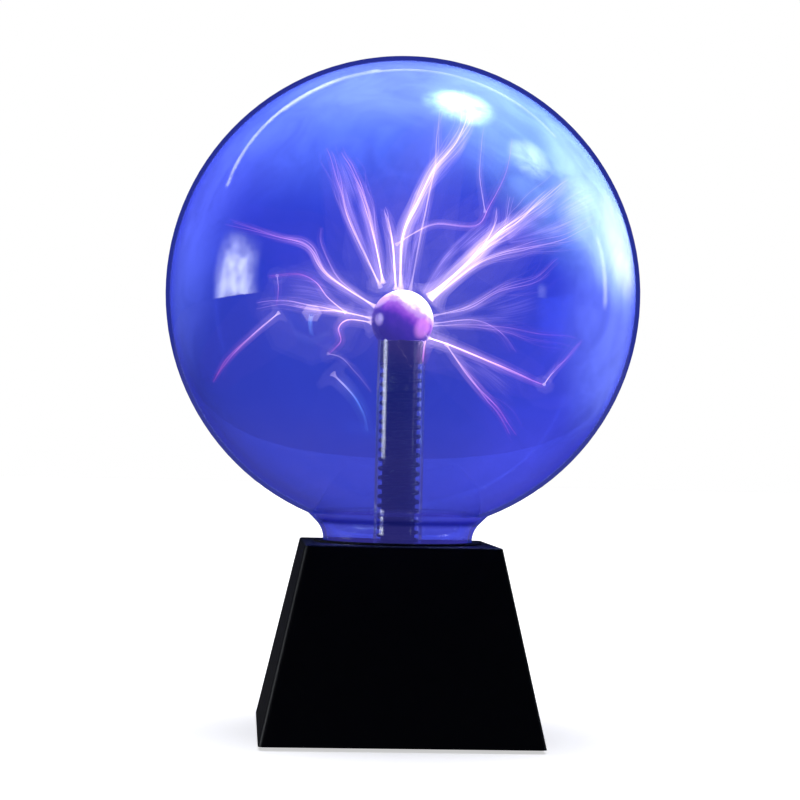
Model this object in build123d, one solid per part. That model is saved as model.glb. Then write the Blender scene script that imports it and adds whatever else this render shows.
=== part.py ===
from build123d import *
import math
import os

# Plasma ball on a square tapered base. Millimetres, +Z up, origin on the floor under the globe's axis.
# The front of the base faces -Y, and the switch and the supply socket are in its rear face, +Y.

# Globe glass
globe_radius = 100.0
globe_centre_z = 185.5
globe_wall = 1.6
crease_radius = 38.0        # where the ball meets the neck
neck_radius = 31.5
neck_slope_end_radius = 34.5
neck_bottom_z = 58.0
joint_gap = 0.1             # room between fitted pieces that do not move
cut_past = 1.0              # how far a cutting shape runs past the face that it cuts

# Electrode and stem
bulb_radius = 13.2
bulb_wall = 1.2
bulb_centre_z = 174.9
lining_thickness = 0.3
lining_rim_height = 2.0     # above the joint of bulb and stem
stem_radius = 10.2
stem_wall = 1.0
flare_thickness = 1.4
flare_fillet = 4.0
exhaust_radius = 2.5
exhaust_bore = 1.4
exhaust_tip_radius = 0.8
exhaust_offset = 20.0
exhaust_bottom_z = 50.0
plug_height = 8.0
plug_flange_radius = 16.0
plug_flange_thickness = 1.5
spring_wire_radius = 0.8
spring_mean_radius = 8.15
spring_pitch = 3.95
spring_turns = 23.25
liner_radius = 7.1
liner_wall = 1.4
liner_seat_depth = 4.0
liner_top_z = 158.0
cap_flange_radius = 9.0
cap_flange_thickness = 1.5
cap_guide_length = 9.0
cap_tip_radius = 1.5
lead_radius = 1.6
lead_cross_z = 52.2         # where the lead crosses from the transformer to the axis
lead_bends = [4.0, 4.2]

# Base shell
foot_height = 1.5           # how far the feet stand below the shell
base_top_z = 81.0
base_half_top = 40.25
base_half_bottom = 57.7
base_wall = 2.5             # measured level
base_top_wall = 2.6
base_corner_radius = 2.5
base_rim_radius = 0.9
neck_opening_radius = 33.5
gasket_lip_radius = 35.6
gasket_lip_height = 0.9
gasket_lip_rounding = 0.54
gasket_depth = 5.0
post_offset = 47.0
post_radius = 4.2
post_top_z = 40.0
boss_offset = 31.0
boss_radius = 4.0
boss_bottom_z = 68.0
shell_lean = math.atan((base_half_bottom - base_half_top) / (base_top_z - foot_height))

# Globe cradle
cradle_outer_radius = 34.5
cradle_bore_radius = 32.2
cradle_ledge_radius = 28.0
cradle_ledge_thickness = 2.5
cradle_ear_radius = 4.5
cradle_ear_thickness = 3.5
cradle_screw_head = (2.8, 1.9)      # radius, height
cradle_screw_cover = 2.0    # plastic left over the tips of the screws
pad_thickness = 1.0
pad_outer_radius = 32.0
pad_inner_radius = 28.8

# Base plate, feet and its screws
plate_half = 54.4
plate_thickness = 2.5
foot_offset = 38.0
foot_radius = 6.0
foot_recess = 0.8
foot_chamfer = 0.5
vent_length = 24.0
vent_width = 2.0
vent_spacing = 8.0
vent_rows = 5
vent_margin = 2.0           # from the middle line to the near end of a vent
screw_radius = 1.45
screw_head_radius = 3.0
screw_length = 13.0
screw_clearance = 0.05
tapping_radius = screw_radius + screw_clearance
screw_hole_gap = 0.25
screw_recess = 0.3          # how far the countersunk heads sit below the plate
drive_slot_width = 0.7
countersunk_slot = (3.6, 0.9)       # length, depth
pan_rounding_share = 0.45   # of the head's height
pan_slot_share = 0.5        # of the head's height
pan_slot_length_share = 1.3         # of the head's radius

# Circuit board
board_half = 30.0
board_corner_radius = 1.5
board_thickness = 1.6
board_bottom_z = 12.0
board_hole_offset = 26.0
board_hole_radius = 1.4
standoff_radius = 3.2
board_screw_radius = 1.2
board_screw_head = (2.3, 1.5)       # radius, height
board_screw_length = 7.0
board_top_z = board_bottom_z + board_thickness

# Step-up transformer, its two U-shaped ferrite halves standing on the board
core_x = -4.0
core_y = -10.0
core_leg_radius = 5.0
core_leg_spacing = 26.0
core_yoke_height = 7.0
core_window = 20.0
core_corner_radius = 2.0
core_lift = 1.6
core_bottom_z = board_top_z + core_lift
bobbin_wall = 1.0
bobbin_flange_radius = 11.5
bobbin_sections = 4
outlet_size = (5.0, 6.0, 5.0)
outlet_reach = 2.0          # from the flanges to the outlet's middle
outlet_lead_reach = 2.8     # from the flanges to the lead
winding_radius = 10.8
winding_room = 0.2
primary_radius = 7.6
primary_height = 15.0
primary_rounding = 0.8
clip_thickness = 0.8
clip_width = 5.0
clip_offset = 2.0           # from the core's middle, between the two windings
clip_foot = 3.0

# Power transistor and heatsink
heatsink_x = 20.0
heatsink_y = 6.0
heatsink_base = 3.0
heatsink_width = 28.0
heatsink_height = 27.0
fin_count = 5
fin_length = 7.0
fin_thickness = 1.4
heatsink_hole_radius = 1.5
transistor_body = (4.4, 10.0, 9.0)
transistor_tab = (1.2, 10.0, 15.5)
transistor_leg = 0.8
transistor_lift = 5.0       # from the board to the moulded body
transistor_chamfer = 0.6
tab_hole_drop = 3.0         # below the top of the tab
tab_hole_radius = 1.8
leg_pitch = 2.54
transistor_screw_radius = 1.45
transistor_screw_head = (2.8, 2.0)  # radius, height
transistor_head_rounding = 0.8
transistor_screw_slot = (0.8, 3.6)  # depth, length
pad_gap = 0.4               # between the tab and the heatsink
insulating_pad_size = (0.3, 12.0, 17.5)
insulating_pad_lift = 4.0

# Smaller parts on the board, by their middles in x and y
can_places = [(-20.0, 18.0), (-6.0, 19.0)]
can_radius = 5.0
can_height = 16.0
can_rounding = 0.7
can_groove_height = 2.4
can_groove_radius = 0.6
can_groove_offset = 0.25
film_case_place = (24.5, -17.0)
film_case_size = (5.2, 12.5, 10.5)
film_case_rounding = 0.5
axial_lift = 0.4            # from the board to a lying body
leg_bend_share = 0.5        # of the height of a leg
body_rounding_share = 0.45  # of the body's radius
resistor_rows = [(-14.0, -27.0), (-14.0, -23.5), (2.0, 25.0)]
resistor_columns = [(17.2, -12.0), (12.0, 16.5)]
resistor_body = (1.2, 6.2)  # radius, length
resistor_legs = (0.3, 9.5)  # wire radius, pitch
diode_place = (-24.0, 6.0)
diode_body = (1.35, 5.2)
diode_legs = (0.4, 9.0)
chip_place = (6.0, -24.5)
chip_size = (9.4, 6.4, 3.3)
chip_lift = 0.9
chip_chamfer = 0.4
chip_notch_radius = 0.9
chip_notch_depth = 0.5
chip_legs_per_side = 4
chip_leg = (1.2, 0.3, 2.6)
chip_leg_offset = 3.45
chip_shoulder = (1.2, 0.6, 0.3)
chip_shoulder_offset = 3.25

# Rear panel pieces, placed by their centres on the leaning rear face
switch_x = 18.0
switch_z = 28.0
jack_x = -18.0
jack_z = 22.0
microphone_x = 0.0
microphone_z = 40.0

# Three-position rocker switch: across, along the rocker and into the base
switch_bezel = (15.0, 21.0, 2.0)
bezel_corner_radius = 1.5
bezel_rim_radius = 0.6
switch_body = (12.8, 18.8, 14.0)
switch_cavity = (10.0, 17.8, 12.0)
switch_floor = 2.0
rocker_width = 9.6
rocker_end_radius = 8.6
rocker_pivot_depth = 1.2
rocker_pin_radius = 1.2
rocker_pin_length = 1.2
rocker_bearing_clearance = 0.05
rocker_end_play = 0.2       # past each end of the pins
rocker_edge_radius = 0.4
rocker_valley = 1.6
rocker_bottom_depth = 4.5
rocker_throw = 12.0         # degrees each side of level
plunger_radius = 1.3
plunger_reach = 6.0
contact_pivot_depth = 7.75
contact_tilt = 6.0          # degrees each side of level
contact_size = (3.6, 12.4, 0.5)
contact_corner_radius = 0.8
contact_rivet_radius = 1.0
contact_rivet_height = 0.5
terminal_width = 4.8
terminal_thickness = 0.8
terminal_spacing = 5.4
terminal_tip_depth = 21.0
terminal_eye_radius = 0.9
terminal_eye_height = 2.5   # from the tip
side_contact_depth = 9.45
centre_contact_depth = 8.2

# Supply socket for a 5.5 / 2.1 mm barrel plug
jack_flange_radius = 5.5
jack_flange_thickness = 1.6
jack_flange_rounding = 0.5
jack_body_radius = 4.0
jack_body_length = 12.0
jack_bore_radius = 2.85
jack_bore_depth = 9.0
jack_pin_radius = 1.05
jack_pin_base_radius = 1.3
jack_pin_recess = 0.6
jack_pin_rounding = 0.35
jack_nut_flats = 11.0
jack_nut_thickness = 3.0
jack_lug_length = 4.5
jack_lug_radius = 0.6
jack_blade = (2.0, 0.3)
jack_blade_recess = 1.5
jack_slot_recess = 1.0

# Microphone behind its hole
microphone_radius = 4.85
microphone_length = 5.6
microphone_rounding = 0.4
microphone_port = (1.05, 0.5)       # radius, depth
microphone_tail_offset = 1.3
microphone_hole_radius = 1.5
boot_radius = 6.2
boot_front = 0.9

# Wires, with the places where they meet the board
supply_wire_radius = 0.75
signal_wire_radius = 0.45
wire_bend_radius = 2.2
wire_knee_rise = 2.8
jack_wire_reach = 3.5       # how far a wire runs straight inward before it turns
jack_wire_ends = [(-16.0, 26.5), (-12.0, 25.5)]
switch_wire_reach = 4.0
switch_wire_ends = [(20.0, 22.5), (14.0, 22.5), (8.0, 22.5)]
microphone_wire_reach = 5.0
microphone_wire_ends = [(-2.0, 28.5), (6.0, 28.5)]


def half_at(z):
    """Half the width of the shell at a height."""
    share = (z - foot_height) / (base_top_z - foot_height)
    return base_half_bottom + (base_half_top - base_half_bottom) * share


def rear_plane(x, z):
    """A plane on the rear face: x to the left seen from behind the base, y up the face, z outward."""
    outward = (0, math.cos(shell_lean), math.sin(shell_lean))
    return Plane(origin=(x, half_at(z), z), x_dir=(-1, 0, 0), z_dir=outward)


def disc(radius, z_low, z_high, inner=0.0, at=(0.0, 0.0)):
    """A disc, or a ring where inner is given, between two heights."""
    outline = Circle(radius) - Circle(inner) if inner else Circle(radius)
    return Pos(at[0], at[1], z_low) * extrude(outline, z_high - z_low)


def block(size, centre, z_low):
    """A box by its size, its centre in x and y and its lowest height."""
    return Pos(centre[0], centre[1], z_low) * Box(*size, align=(Align.CENTER, Align.CENTER, Align.MIN))


def corners(offset):
    """The four corner places of a square."""
    return [(x, y) for x in (-offset, offset) for y in (-offset, offset)]


def turned(*edges):
    """A solid of revolution about Z from its half outline in x and z."""
    return revolve(make_face(Wire(list(edges))), axis=Axis.Z)


def wire_solid(points, radius, bends):
    """A round wire along straight runs joined by arcs."""
    path = FilletPolyline(*points, radius=bends)
    section = Plane(origin=path @ 0, z_dir=path % 0) * Circle(radius)
    wire = sweep(section, path=path)
    share = wire.volume / (math.pi * radius * radius * path.length)
    print(f"wire of {path.length:.1f} mm, bends {bends}, volume over section times length {share:.4f}")
    return wire


def point_on_circle(radius, centre_z, x):
    """The lower point of a circle about the axis, at a distance from the axis."""
    return (x, 0, centre_z - math.sqrt(radius * radius - x * x))


def globe_glass():
    """The blown ball with its neck, one wall thick all over."""
    inner_radius = globe_radius - globe_wall
    neck_inner = neck_radius - globe_wall
    slope_run = crease_radius - neck_slope_end_radius
    crease = point_on_circle(globe_radius, globe_centre_z, crease_radius)
    slope_end = (neck_slope_end_radius, 0, crease[2] - slope_run)
    neck_fillet = (neck_slope_end_radius - neck_radius) / (1 - math.cos(math.pi / 4))
    neck_top = (neck_radius, 0, slope_end[2] - neck_fillet * math.sin(math.pi / 4))
    shift = globe_wall * math.sqrt(0.5)
    inner_slope_end = (slope_end[0] - shift, 0, slope_end[2] + shift)
    inner_crease = point_on_circle(inner_radius, globe_centre_z, crease_radius - 2 * shift)
    inner_neck_top = (neck_inner, 0, neck_top[2])
    outer_top = (0, 0, globe_centre_z + globe_radius)
    inner_top = (0, 0, globe_centre_z + inner_radius)
    return turned(
        ThreePointArc(outer_top, (globe_radius, 0, globe_centre_z), crease),
        Line(crease, slope_end),
        TangentArc(slope_end, neck_top, tangent=(-1, 0, -1)),
        Line(neck_top, (neck_radius, 0, neck_bottom_z)),
        Line((neck_radius, 0, neck_bottom_z), (neck_inner, 0, neck_bottom_z)),
        Line((neck_inner, 0, neck_bottom_z), inner_neck_top),
        TangentArc(inner_neck_top, inner_slope_end, tangent=(0, 0, 1)),
        Line(inner_slope_end, inner_crease),
        ThreePointArc(inner_crease, (inner_radius, 0, globe_centre_z), inner_top),
        Line(inner_top, outer_top),
    )


def stem_tube():
    """The stem's glass tube, flared out at its foot to close the neck."""
    inner = stem_radius - stem_wall
    rim = neck_radius - globe_wall - joint_gap
    flare_top = neck_bottom_z + flare_thickness
    joint_z = bulb_centre_z - math.sqrt(bulb_radius ** 2 - stem_radius ** 2)
    foot_fillet = flare_fillet + stem_wall
    flare = turned(
        Line((inner, 0, joint_z), (stem_radius, 0, joint_z)),
        Line((stem_radius, 0, joint_z), (stem_radius, 0, flare_top + flare_fillet)),
        TangentArc((stem_radius, 0, flare_top + flare_fillet), (stem_radius + flare_fillet, 0, flare_top),
                   tangent=(0, 0, -1)),
        Line((stem_radius + flare_fillet, 0, flare_top), (rim, 0, flare_top)),
        Line((rim, 0, flare_top), (rim, 0, neck_bottom_z)),
        Line((rim, 0, neck_bottom_z), (inner + foot_fillet, 0, neck_bottom_z)),
        Line((inner + foot_fillet, 0, neck_bottom_z), (inner, 0, neck_bottom_z + foot_fillet)),
        Line((inner, 0, neck_bottom_z + foot_fillet), (inner, 0, joint_z)),
    )
    opening = disc(exhaust_radius + joint_gap / 2, exhaust_bottom_z, flare_top + cut_past)
    return flare - Pos(0, exhaust_offset, 0) * opening


def electrode_bulb():
    """The hollow glass ball on top of the stem, open where the stem is fused to it."""
    joint_height = math.sqrt(bulb_radius ** 2 - stem_radius ** 2)
    ball = Sphere(bulb_radius) - Sphere(bulb_radius - bulb_wall)
    below = disc(bulb_radius + cut_past, -bulb_radius - cut_past, -joint_height)
    return Pos(0, 0, bulb_centre_z) * (ball - below)


def electrode_lining():
    """The conductive coat inside the bulb."""
    outer = bulb_radius - bulb_wall - joint_gap
    coat = Sphere(outer) - Sphere(outer - lining_thickness)
    rim = -math.sqrt(bulb_radius ** 2 - stem_radius ** 2) + lining_rim_height
    below = disc(outer + cut_past, -outer - cut_past, rim)
    return Pos(0, 0, bulb_centre_z) * (coat - below)


def exhaust_tip():
    """The pinched-off tube that the globe was pumped and filled through."""
    taper_z = exhaust_bottom_z + exhaust_radius * 2
    top = neck_bottom_z + flare_thickness
    outline = turned(
        Line((0, 0, exhaust_bottom_z), (exhaust_tip_radius, 0, exhaust_bottom_z)),
        Line((exhaust_tip_radius, 0, exhaust_bottom_z), (exhaust_radius, 0, taper_z)),
        Line((exhaust_radius, 0, taper_z), (exhaust_radius, 0, top)),
        Line((exhaust_radius, 0, top), (exhaust_bore, 0, top)),
        Line((exhaust_bore, 0, top), (exhaust_bore, 0, taper_z)),
        Line((exhaust_bore, 0, taper_z), (0, 0, taper_z - exhaust_bore)),
        Line((0, 0, taper_z - exhaust_bore), (0, 0, exhaust_bottom_z)),
    )
    return Pos(0, exhaust_offset, 0) * outline


def stem_plug():
    """The plug in the foot of the stem, which seats the liner and the spring."""
    top = neck_bottom_z + plug_height
    body = disc(stem_radius - stem_wall - joint_gap, neck_bottom_z, top)
    flange = disc(plug_flange_radius, neck_bottom_z - plug_flange_thickness, neck_bottom_z)
    lead_hole = disc(lead_radius + joint_gap, neck_bottom_z - plug_flange_thickness, top)
    liner_seat = disc(liner_radius + joint_gap, top - liner_seat_depth, top)
    return body + flange - lead_hole - liner_seat


def stem_liner():
    """The dark insulating tube round the high-voltage lead."""
    foot = neck_bottom_z + plug_height - liner_seat_depth
    return disc(liner_radius, foot, liner_top_z, inner=liner_radius - liner_wall)


def contact_spring():
    """The compression spring that holds the contact cap up in the bulb."""
    foot = neck_bottom_z + plug_height + spring_wire_radius + joint_gap
    path = Helix(spring_pitch, spring_pitch * spring_turns, spring_mean_radius, center=(0, 0, foot))
    section = Plane(origin=path @ 0, z_dir=path % 0) * Circle(spring_wire_radius)
    spring = sweep(section, path=path, is_frenet=True)
    share = spring.volume / (math.pi * spring_wire_radius ** 2 * path.length)
    print(f"spring wire of {path.length:.0f} mm, volume over section times length {share:.4f}")
    return spring


def cap_seat_z():
    """The height of the top of the spring, where the contact cap rests."""
    return neck_bottom_z + plug_height + 2 * (spring_wire_radius + joint_gap) + spring_pitch * spring_turns


def contact_cap():
    """The metal cap that stands on the spring and touches the bulb's coat."""
    seat = cap_seat_z()
    guide_radius = liner_radius - liner_wall - joint_gap
    coat_top = bulb_centre_z + bulb_radius - bulb_wall - joint_gap - lining_thickness
    flange = disc(cap_flange_radius, seat, seat + cap_flange_thickness)
    guide = disc(guide_radius, seat - cap_guide_length, seat)
    tip_height = coat_top - cap_tip_radius - joint_gap
    tip = disc(cap_tip_radius, seat + cap_flange_thickness, tip_height)
    return flange + guide + tip + Pos(0, 0, tip_height) * Sphere(cap_tip_radius)


def frustum(half_bottom, half_top, z_low, z_high):
    """A square block that narrows upward."""
    low = Pos(0, 0, z_low) * Rectangle(2 * half_bottom, 2 * half_bottom)
    high = Pos(0, 0, z_high) * Rectangle(2 * half_top, 2 * half_top)
    return loft([low, high], ruled=True)


def shell_blank():
    """The outside of the base, with its corners and top rim eased."""
    blank = frustum(base_half_bottom, base_half_top, foot_height, base_top_z)
    uprights = [e for e in blank.edges() if abs(e.tangent_at(0.5).Z) > 0.5]
    blank = fillet(uprights, base_corner_radius)
    rim = blank.faces().sort_by(Axis.Z)[-1].edges()
    return fillet(rim, base_rim_radius)


def base_shell():
    """The tapered one-piece cover with its screw posts and its rear openings."""
    blank = shell_blank()
    cavity_top = base_top_z - base_top_wall
    hollow = frustum(base_half_bottom - base_wall, half_at(cavity_top) - base_wall, foot_height, cavity_top)
    shell = blank - hollow - disc(neck_opening_radius, cavity_top - cut_past, base_top_z + cut_past)
    plate_top = foot_height + plate_thickness
    for x, y in corners(post_offset):
        shell += blank & disc(post_radius, plate_top, post_top_z, at=(x, y))
    for x, y in corners(boss_offset):
        shell += disc(boss_radius, boss_bottom_z, cavity_top, at=(x, y))
    for x, y in corners(post_offset):
        shell -= disc(tapping_radius, plate_top - cut_past, plate_top + screw_length, at=(x, y))
    for x, y in corners(boss_offset):
        tapped_top = cavity_top - cradle_screw_cover / 2
        shell -= disc(tapping_radius, boss_bottom_z - cut_past, tapped_top, at=(x, y))
    cut_depth = 3 * base_wall
    window = Box(switch_body[0] + 2 * joint_gap, switch_body[1] + 2 * joint_gap, cut_depth)
    shell -= rear_plane(switch_x, switch_z).location * window
    shell -= rear_plane(jack_x, jack_z).location * Cylinder(jack_body_radius + joint_gap, cut_depth)
    shell -= rear_plane(microphone_x, microphone_z).location * Cylinder(microphone_hole_radius, cut_depth)
    return shell


def neck_gasket():
    """The soft ring between the glass neck and the shell."""
    inner = neck_radius + joint_gap
    body = disc(neck_opening_radius - joint_gap, base_top_z - gasket_depth, base_top_z, inner=inner)
    lip = disc(gasket_lip_radius, base_top_z, base_top_z + gasket_lip_height, inner=inner)
    outer_edge = lip.edges().filter_by(GeomType.CIRCLE).sort_by(Axis.Z)[-2:].sort_by(SortBy.LENGTH)[-1]
    return body + fillet(outer_edge, gasket_lip_rounding)


def globe_cradle():
    """The ring that carries the globe's neck, screwed up to the shell at four ears."""
    ledge_top = neck_bottom_z - pad_thickness
    ledge_bottom = ledge_top - cradle_ledge_thickness
    ear_bottom = boss_bottom_z - cradle_ear_thickness
    ring = disc(cradle_outer_radius, ledge_bottom, boss_bottom_z, inner=cradle_bore_radius)
    ring += disc(cradle_outer_radius, ledge_bottom, ledge_top, inner=cradle_ledge_radius)
    hollow = disc(cradle_bore_radius, ledge_top, boss_bottom_z)
    hollow += disc(cradle_ledge_radius + cut_past, ear_bottom - cut_past, boss_bottom_z + cut_past)
    for x, y in corners(boss_offset):
        angle = math.degrees(math.atan2(y, x))
        arm_size = (math.hypot(x, y), 2 * cradle_ear_radius, cradle_ear_thickness)
        arm = Box(*arm_size, align=(Align.MIN, Align.CENTER, Align.MIN))
        ring += Pos(0, 0, ear_bottom) * Rot(0, 0, angle) * arm - hollow
        ring += disc(cradle_ear_radius, ear_bottom, boss_bottom_z, at=(x, y))
    for x, y in corners(boss_offset):
        ring -= disc(tapping_radius, ear_bottom - cut_past, boss_bottom_z + cut_past, at=(x, y))
    return ring


def cradle_pad():
    """The soft washer under the rim of the neck."""
    return disc(pad_outer_radius, neck_bottom_z - pad_thickness, neck_bottom_z, inner=pad_inner_radius)


def pan_screw(head_z, tip_z, at, radius, head_radius, head_height):
    """A pan-head screw that points up from head_z to tip_z, or down where tip_z is lower."""
    way = 1 if tip_z > head_z else -1
    shank = disc(radius, min(head_z, tip_z), max(head_z, tip_z), at=at)
    low, high = sorted((head_z, head_z - way * head_height))
    head = disc(head_radius, low, high, at=at)
    outer = head.faces().sort_by(Axis.Z)[0 if way > 0 else -1].edges()
    head = fillet(outer, head_height * pan_rounding_share)
    slot_depth = head_height * pan_slot_share
    slot_length = head_radius * pan_slot_length_share
    slot_z = low if way > 0 else high - slot_depth
    slot = block((slot_length, drive_slot_width, slot_depth), at, slot_z)
    slot += block((drive_slot_width, slot_length, slot_depth), at, slot_z)
    return shank + head - slot


def cradle_screws():
    """Four screws from below through the cradle's ears into the shell."""
    head_z = boss_bottom_z - cradle_ear_thickness
    tip_z = base_top_z - base_top_wall - cradle_screw_cover
    return [pan_screw(head_z, tip_z, at, screw_radius, *cradle_screw_head) for at in corners(boss_offset)]


def base_plate():
    """The bottom cover with its board standoffs, vents and foot recesses."""
    top = foot_height + plate_thickness
    sink_depth = screw_head_radius - screw_radius + screw_recess
    plate = block((2 * plate_half, 2 * plate_half, plate_thickness), (0, 0), foot_height)
    plate = fillet(plate.edges().filter_by(Axis.Z), base_corner_radius)
    for at in corners(board_hole_offset):
        plate += disc(standoff_radius, top, board_bottom_z, at=at)
    for at in corners(board_hole_offset):
        plate -= disc(board_screw_radius + screw_clearance, top, board_bottom_z + cut_past, at=at)
    for at in corners(foot_offset):
        plate -= disc(foot_radius + joint_gap, foot_height - cut_past, foot_height + foot_recess, at=at)
    for x, y in corners(post_offset):
        plate -= disc(screw_radius + screw_hole_gap, foot_height - cut_past, top + cut_past, at=(x, y))
        plate -= Pos(x, y, foot_height + sink_depth / 2) * Cone(
            screw_radius + screw_hole_gap + sink_depth, screw_radius + screw_hole_gap, sink_depth)
    for column in (-1, 1):
        for row in range(vent_rows):
            vent = SlotOverall(vent_length, vent_width)
            vent_y = (row - (vent_rows - 1) / 2) * vent_spacing
            place = Pos(column * (vent_length / 2 + vent_margin), vent_y, foot_height - cut_past)
            plate -= place * extrude(vent, plate_thickness + 2 * cut_past)
    return plate


def base_screws():
    """Four countersunk screws that hold the bottom cover to the shell's posts."""
    screws = []
    head_z = foot_height + screw_recess
    cone_height = screw_head_radius - screw_radius
    for x, y in corners(post_offset):
        head = Pos(x, y, head_z + cone_height / 2) * Cone(screw_head_radius, screw_radius, cone_height)
        shank = disc(screw_radius, head_z + cone_height, head_z + screw_length, at=(x, y))
        slot = block((countersunk_slot[0], drive_slot_width, countersunk_slot[1]), (x, y), head_z)
        slot += block((drive_slot_width, countersunk_slot[0], countersunk_slot[1]), (x, y), head_z)
        screws.append(head + shank - slot)
    return screws


def rubber_feet():
    """Four stick-on feet set into the bottom cover."""
    feet = []
    for at in corners(foot_offset):
        foot = disc(foot_radius, 0, foot_height + foot_recess, at=at)
        feet.append(chamfer(foot.faces().sort_by(Axis.Z)[0].edges(), foot_chamfer))
    return feet


def circuit_board():
    """The driver board, a single-sided sheet with four fixing holes."""
    board = block((2 * board_half, 2 * board_half, board_thickness), (0, 0), board_bottom_z)
    board = fillet(board.edges().filter_by(Axis.Z), board_corner_radius)
    for at in corners(board_hole_offset):
        board -= disc(board_hole_radius, board_bottom_z - cut_past, board_top_z + cut_past, at=at)
    return board


def board_screws():
    """Four small screws down through the board into the standoffs."""
    tip_z = board_top_z - board_screw_length
    return [pan_screw(board_top_z, tip_z, at, board_screw_radius, *board_screw_head)
            for at in corners(board_hole_offset)]


def core_legs():
    """The places of the transformer's two legs: high-voltage side, then primary side."""
    return (core_x - core_leg_spacing / 2, core_y), (core_x + core_leg_spacing / 2, core_y)


def transformer_core():
    """Two U-shaped ferrite halves that meet in the middle of their legs."""
    yoke = (core_leg_spacing + 2 * core_leg_radius, 2 * core_leg_radius, core_yoke_height)
    middle = core_bottom_z + core_yoke_height + core_window / 2
    lower = block(yoke, (core_x, core_y), core_bottom_z)
    upper = block(yoke, (core_x, core_y), middle + core_window / 2)
    lower = fillet(lower.edges().filter_by(Axis.Z), core_corner_radius)
    upper = fillet(upper.edges().filter_by(Axis.Z), core_corner_radius)
    for at in core_legs():
        lower += disc(core_leg_radius, core_bottom_z + core_yoke_height, middle, at=at)
        upper += disc(core_leg_radius, middle, middle + core_window / 2, at=at)
    return [lower, upper]


def transformer_bobbin():
    """The sectioned former of the high-voltage winding, with its outlet block."""
    low = core_bottom_z + core_yoke_height + joint_gap
    high = low + core_window - 2 * joint_gap
    at = core_legs()[0]
    bore = core_leg_radius + joint_gap
    bobbin = disc(bore + bobbin_wall, low, high, inner=bore, at=at)
    for index in range(bobbin_sections + 1):
        flange_z = low + (high - low - bobbin_wall) * index / bobbin_sections
        bobbin += disc(bobbin_flange_radius, flange_z, flange_z + bobbin_wall, inner=bore, at=at)
    outlet = block(outlet_size, (at[0] - bobbin_flange_radius - outlet_reach, at[1]), high - outlet_size[2])
    return bobbin + (outlet - disc(winding_radius + winding_room, low - cut_past, high + cut_past, at=at))


def secondary_winding():
    """The fine high-voltage winding, one ring in each section of the bobbin."""
    low = core_bottom_z + core_yoke_height + joint_gap
    high = low + core_window - 2 * joint_gap
    at = core_legs()[0]
    pitch = (high - low - bobbin_wall) / bobbin_sections
    inner = core_leg_radius + bobbin_wall + 2 * joint_gap
    return [
        disc(winding_radius, low + pitch * k + bobbin_wall, low + pitch * (k + 1), inner=inner, at=at)
        for k in range(bobbin_sections)
    ]


def primary_winding():
    """The heavy low-voltage winding on the other leg."""
    middle = core_bottom_z + core_yoke_height + core_window / 2
    ring = disc(primary_radius, middle - primary_height / 2, middle + primary_height / 2,
                inner=core_leg_radius + joint_gap, at=core_legs()[1])
    return fillet(ring.edges().sort_by(SortBy.LENGTH)[-2:], primary_rounding)


def transformer_clip():
    """The steel strap over the upper core half, between the windings, with its feet on the board."""
    half_span = core_leg_radius + joint_gap
    outer = half_span + clip_thickness
    top = core_bottom_z + 2 * core_yoke_height + core_window + joint_gap
    at = (core_x + clip_offset, core_y)
    strap = block((clip_width, 2 * outer, top + clip_thickness - board_top_z), at, board_top_z)
    window = (clip_width + cut_past, 2 * half_span, top - board_top_z + cut_past)
    strap -= block(window, at, board_top_z - cut_past)
    for side in (-1, 1):
        foot_y = core_y + side * (outer + clip_foot / 2)
        strap += block((clip_width, clip_foot, clip_thickness), (at[0], foot_y), board_top_z)
    return strap


def heatsink():
    """The finned aluminium block behind the transistor."""
    base_x = heatsink_x + heatsink_base / 2
    sink = block((heatsink_base, heatsink_width, heatsink_height), (base_x, heatsink_y), board_top_z)
    step = (heatsink_width - fin_thickness) / (fin_count - 1)
    for index in range(fin_count):
        fin_y = heatsink_y - heatsink_width / 2 + fin_thickness / 2 + index * step
        fin_x = heatsink_x + heatsink_base + fin_length / 2
        sink += block((fin_length, fin_thickness, heatsink_height), (fin_x, fin_y), board_top_z)
    hole = Cylinder(heatsink_hole_radius, heatsink_base + 2 * cut_past)
    return sink - Pos(base_x, heatsink_y, screw_hole_z()) * Rot(0, 90, 0) * hole


def screw_hole_z():
    """The height of the hole in the transistor's tab."""
    return board_top_z + transistor_lift + transistor_tab[2] - tab_hole_drop


def power_transistor():
    """A tab-mounted power transistor: moulded body, metal tab and three legs."""
    foot_z = board_top_z + transistor_lift
    tab_x = heatsink_x - pad_gap - transistor_tab[0] / 2
    body_x = tab_x - transistor_body[0] / 2
    tab = block(transistor_tab, (tab_x, heatsink_y), foot_z)
    body = block(transistor_body, (body_x, heatsink_y), foot_z)
    body = chamfer(body.faces().sort_by(Axis.X)[0].edges(), transistor_chamfer)
    part = tab + body
    hole = Cylinder(tab_hole_radius, 2 * transistor_body[0])
    part -= Pos(tab_x, heatsink_y, screw_hole_z()) * Rot(0, 90, 0) * hole
    for index in (-1, 0, 1):
        part += block((transistor_leg, transistor_leg, foot_z - board_top_z),
                      (body_x, heatsink_y + index * leg_pitch), board_top_z)
    return part


def insulating_pad():
    """The thin pad between the transistor's tab and the heatsink."""
    pad_foot = board_top_z + insulating_pad_lift
    pad = block(insulating_pad_size, (heatsink_x - pad_gap / 2, heatsink_y), pad_foot)
    hole = Cylinder(tab_hole_radius, pad_gap + 2 * cut_past)
    return pad - Pos(heatsink_x, heatsink_y, screw_hole_z()) * Rot(0, 90, 0) * hole


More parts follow.
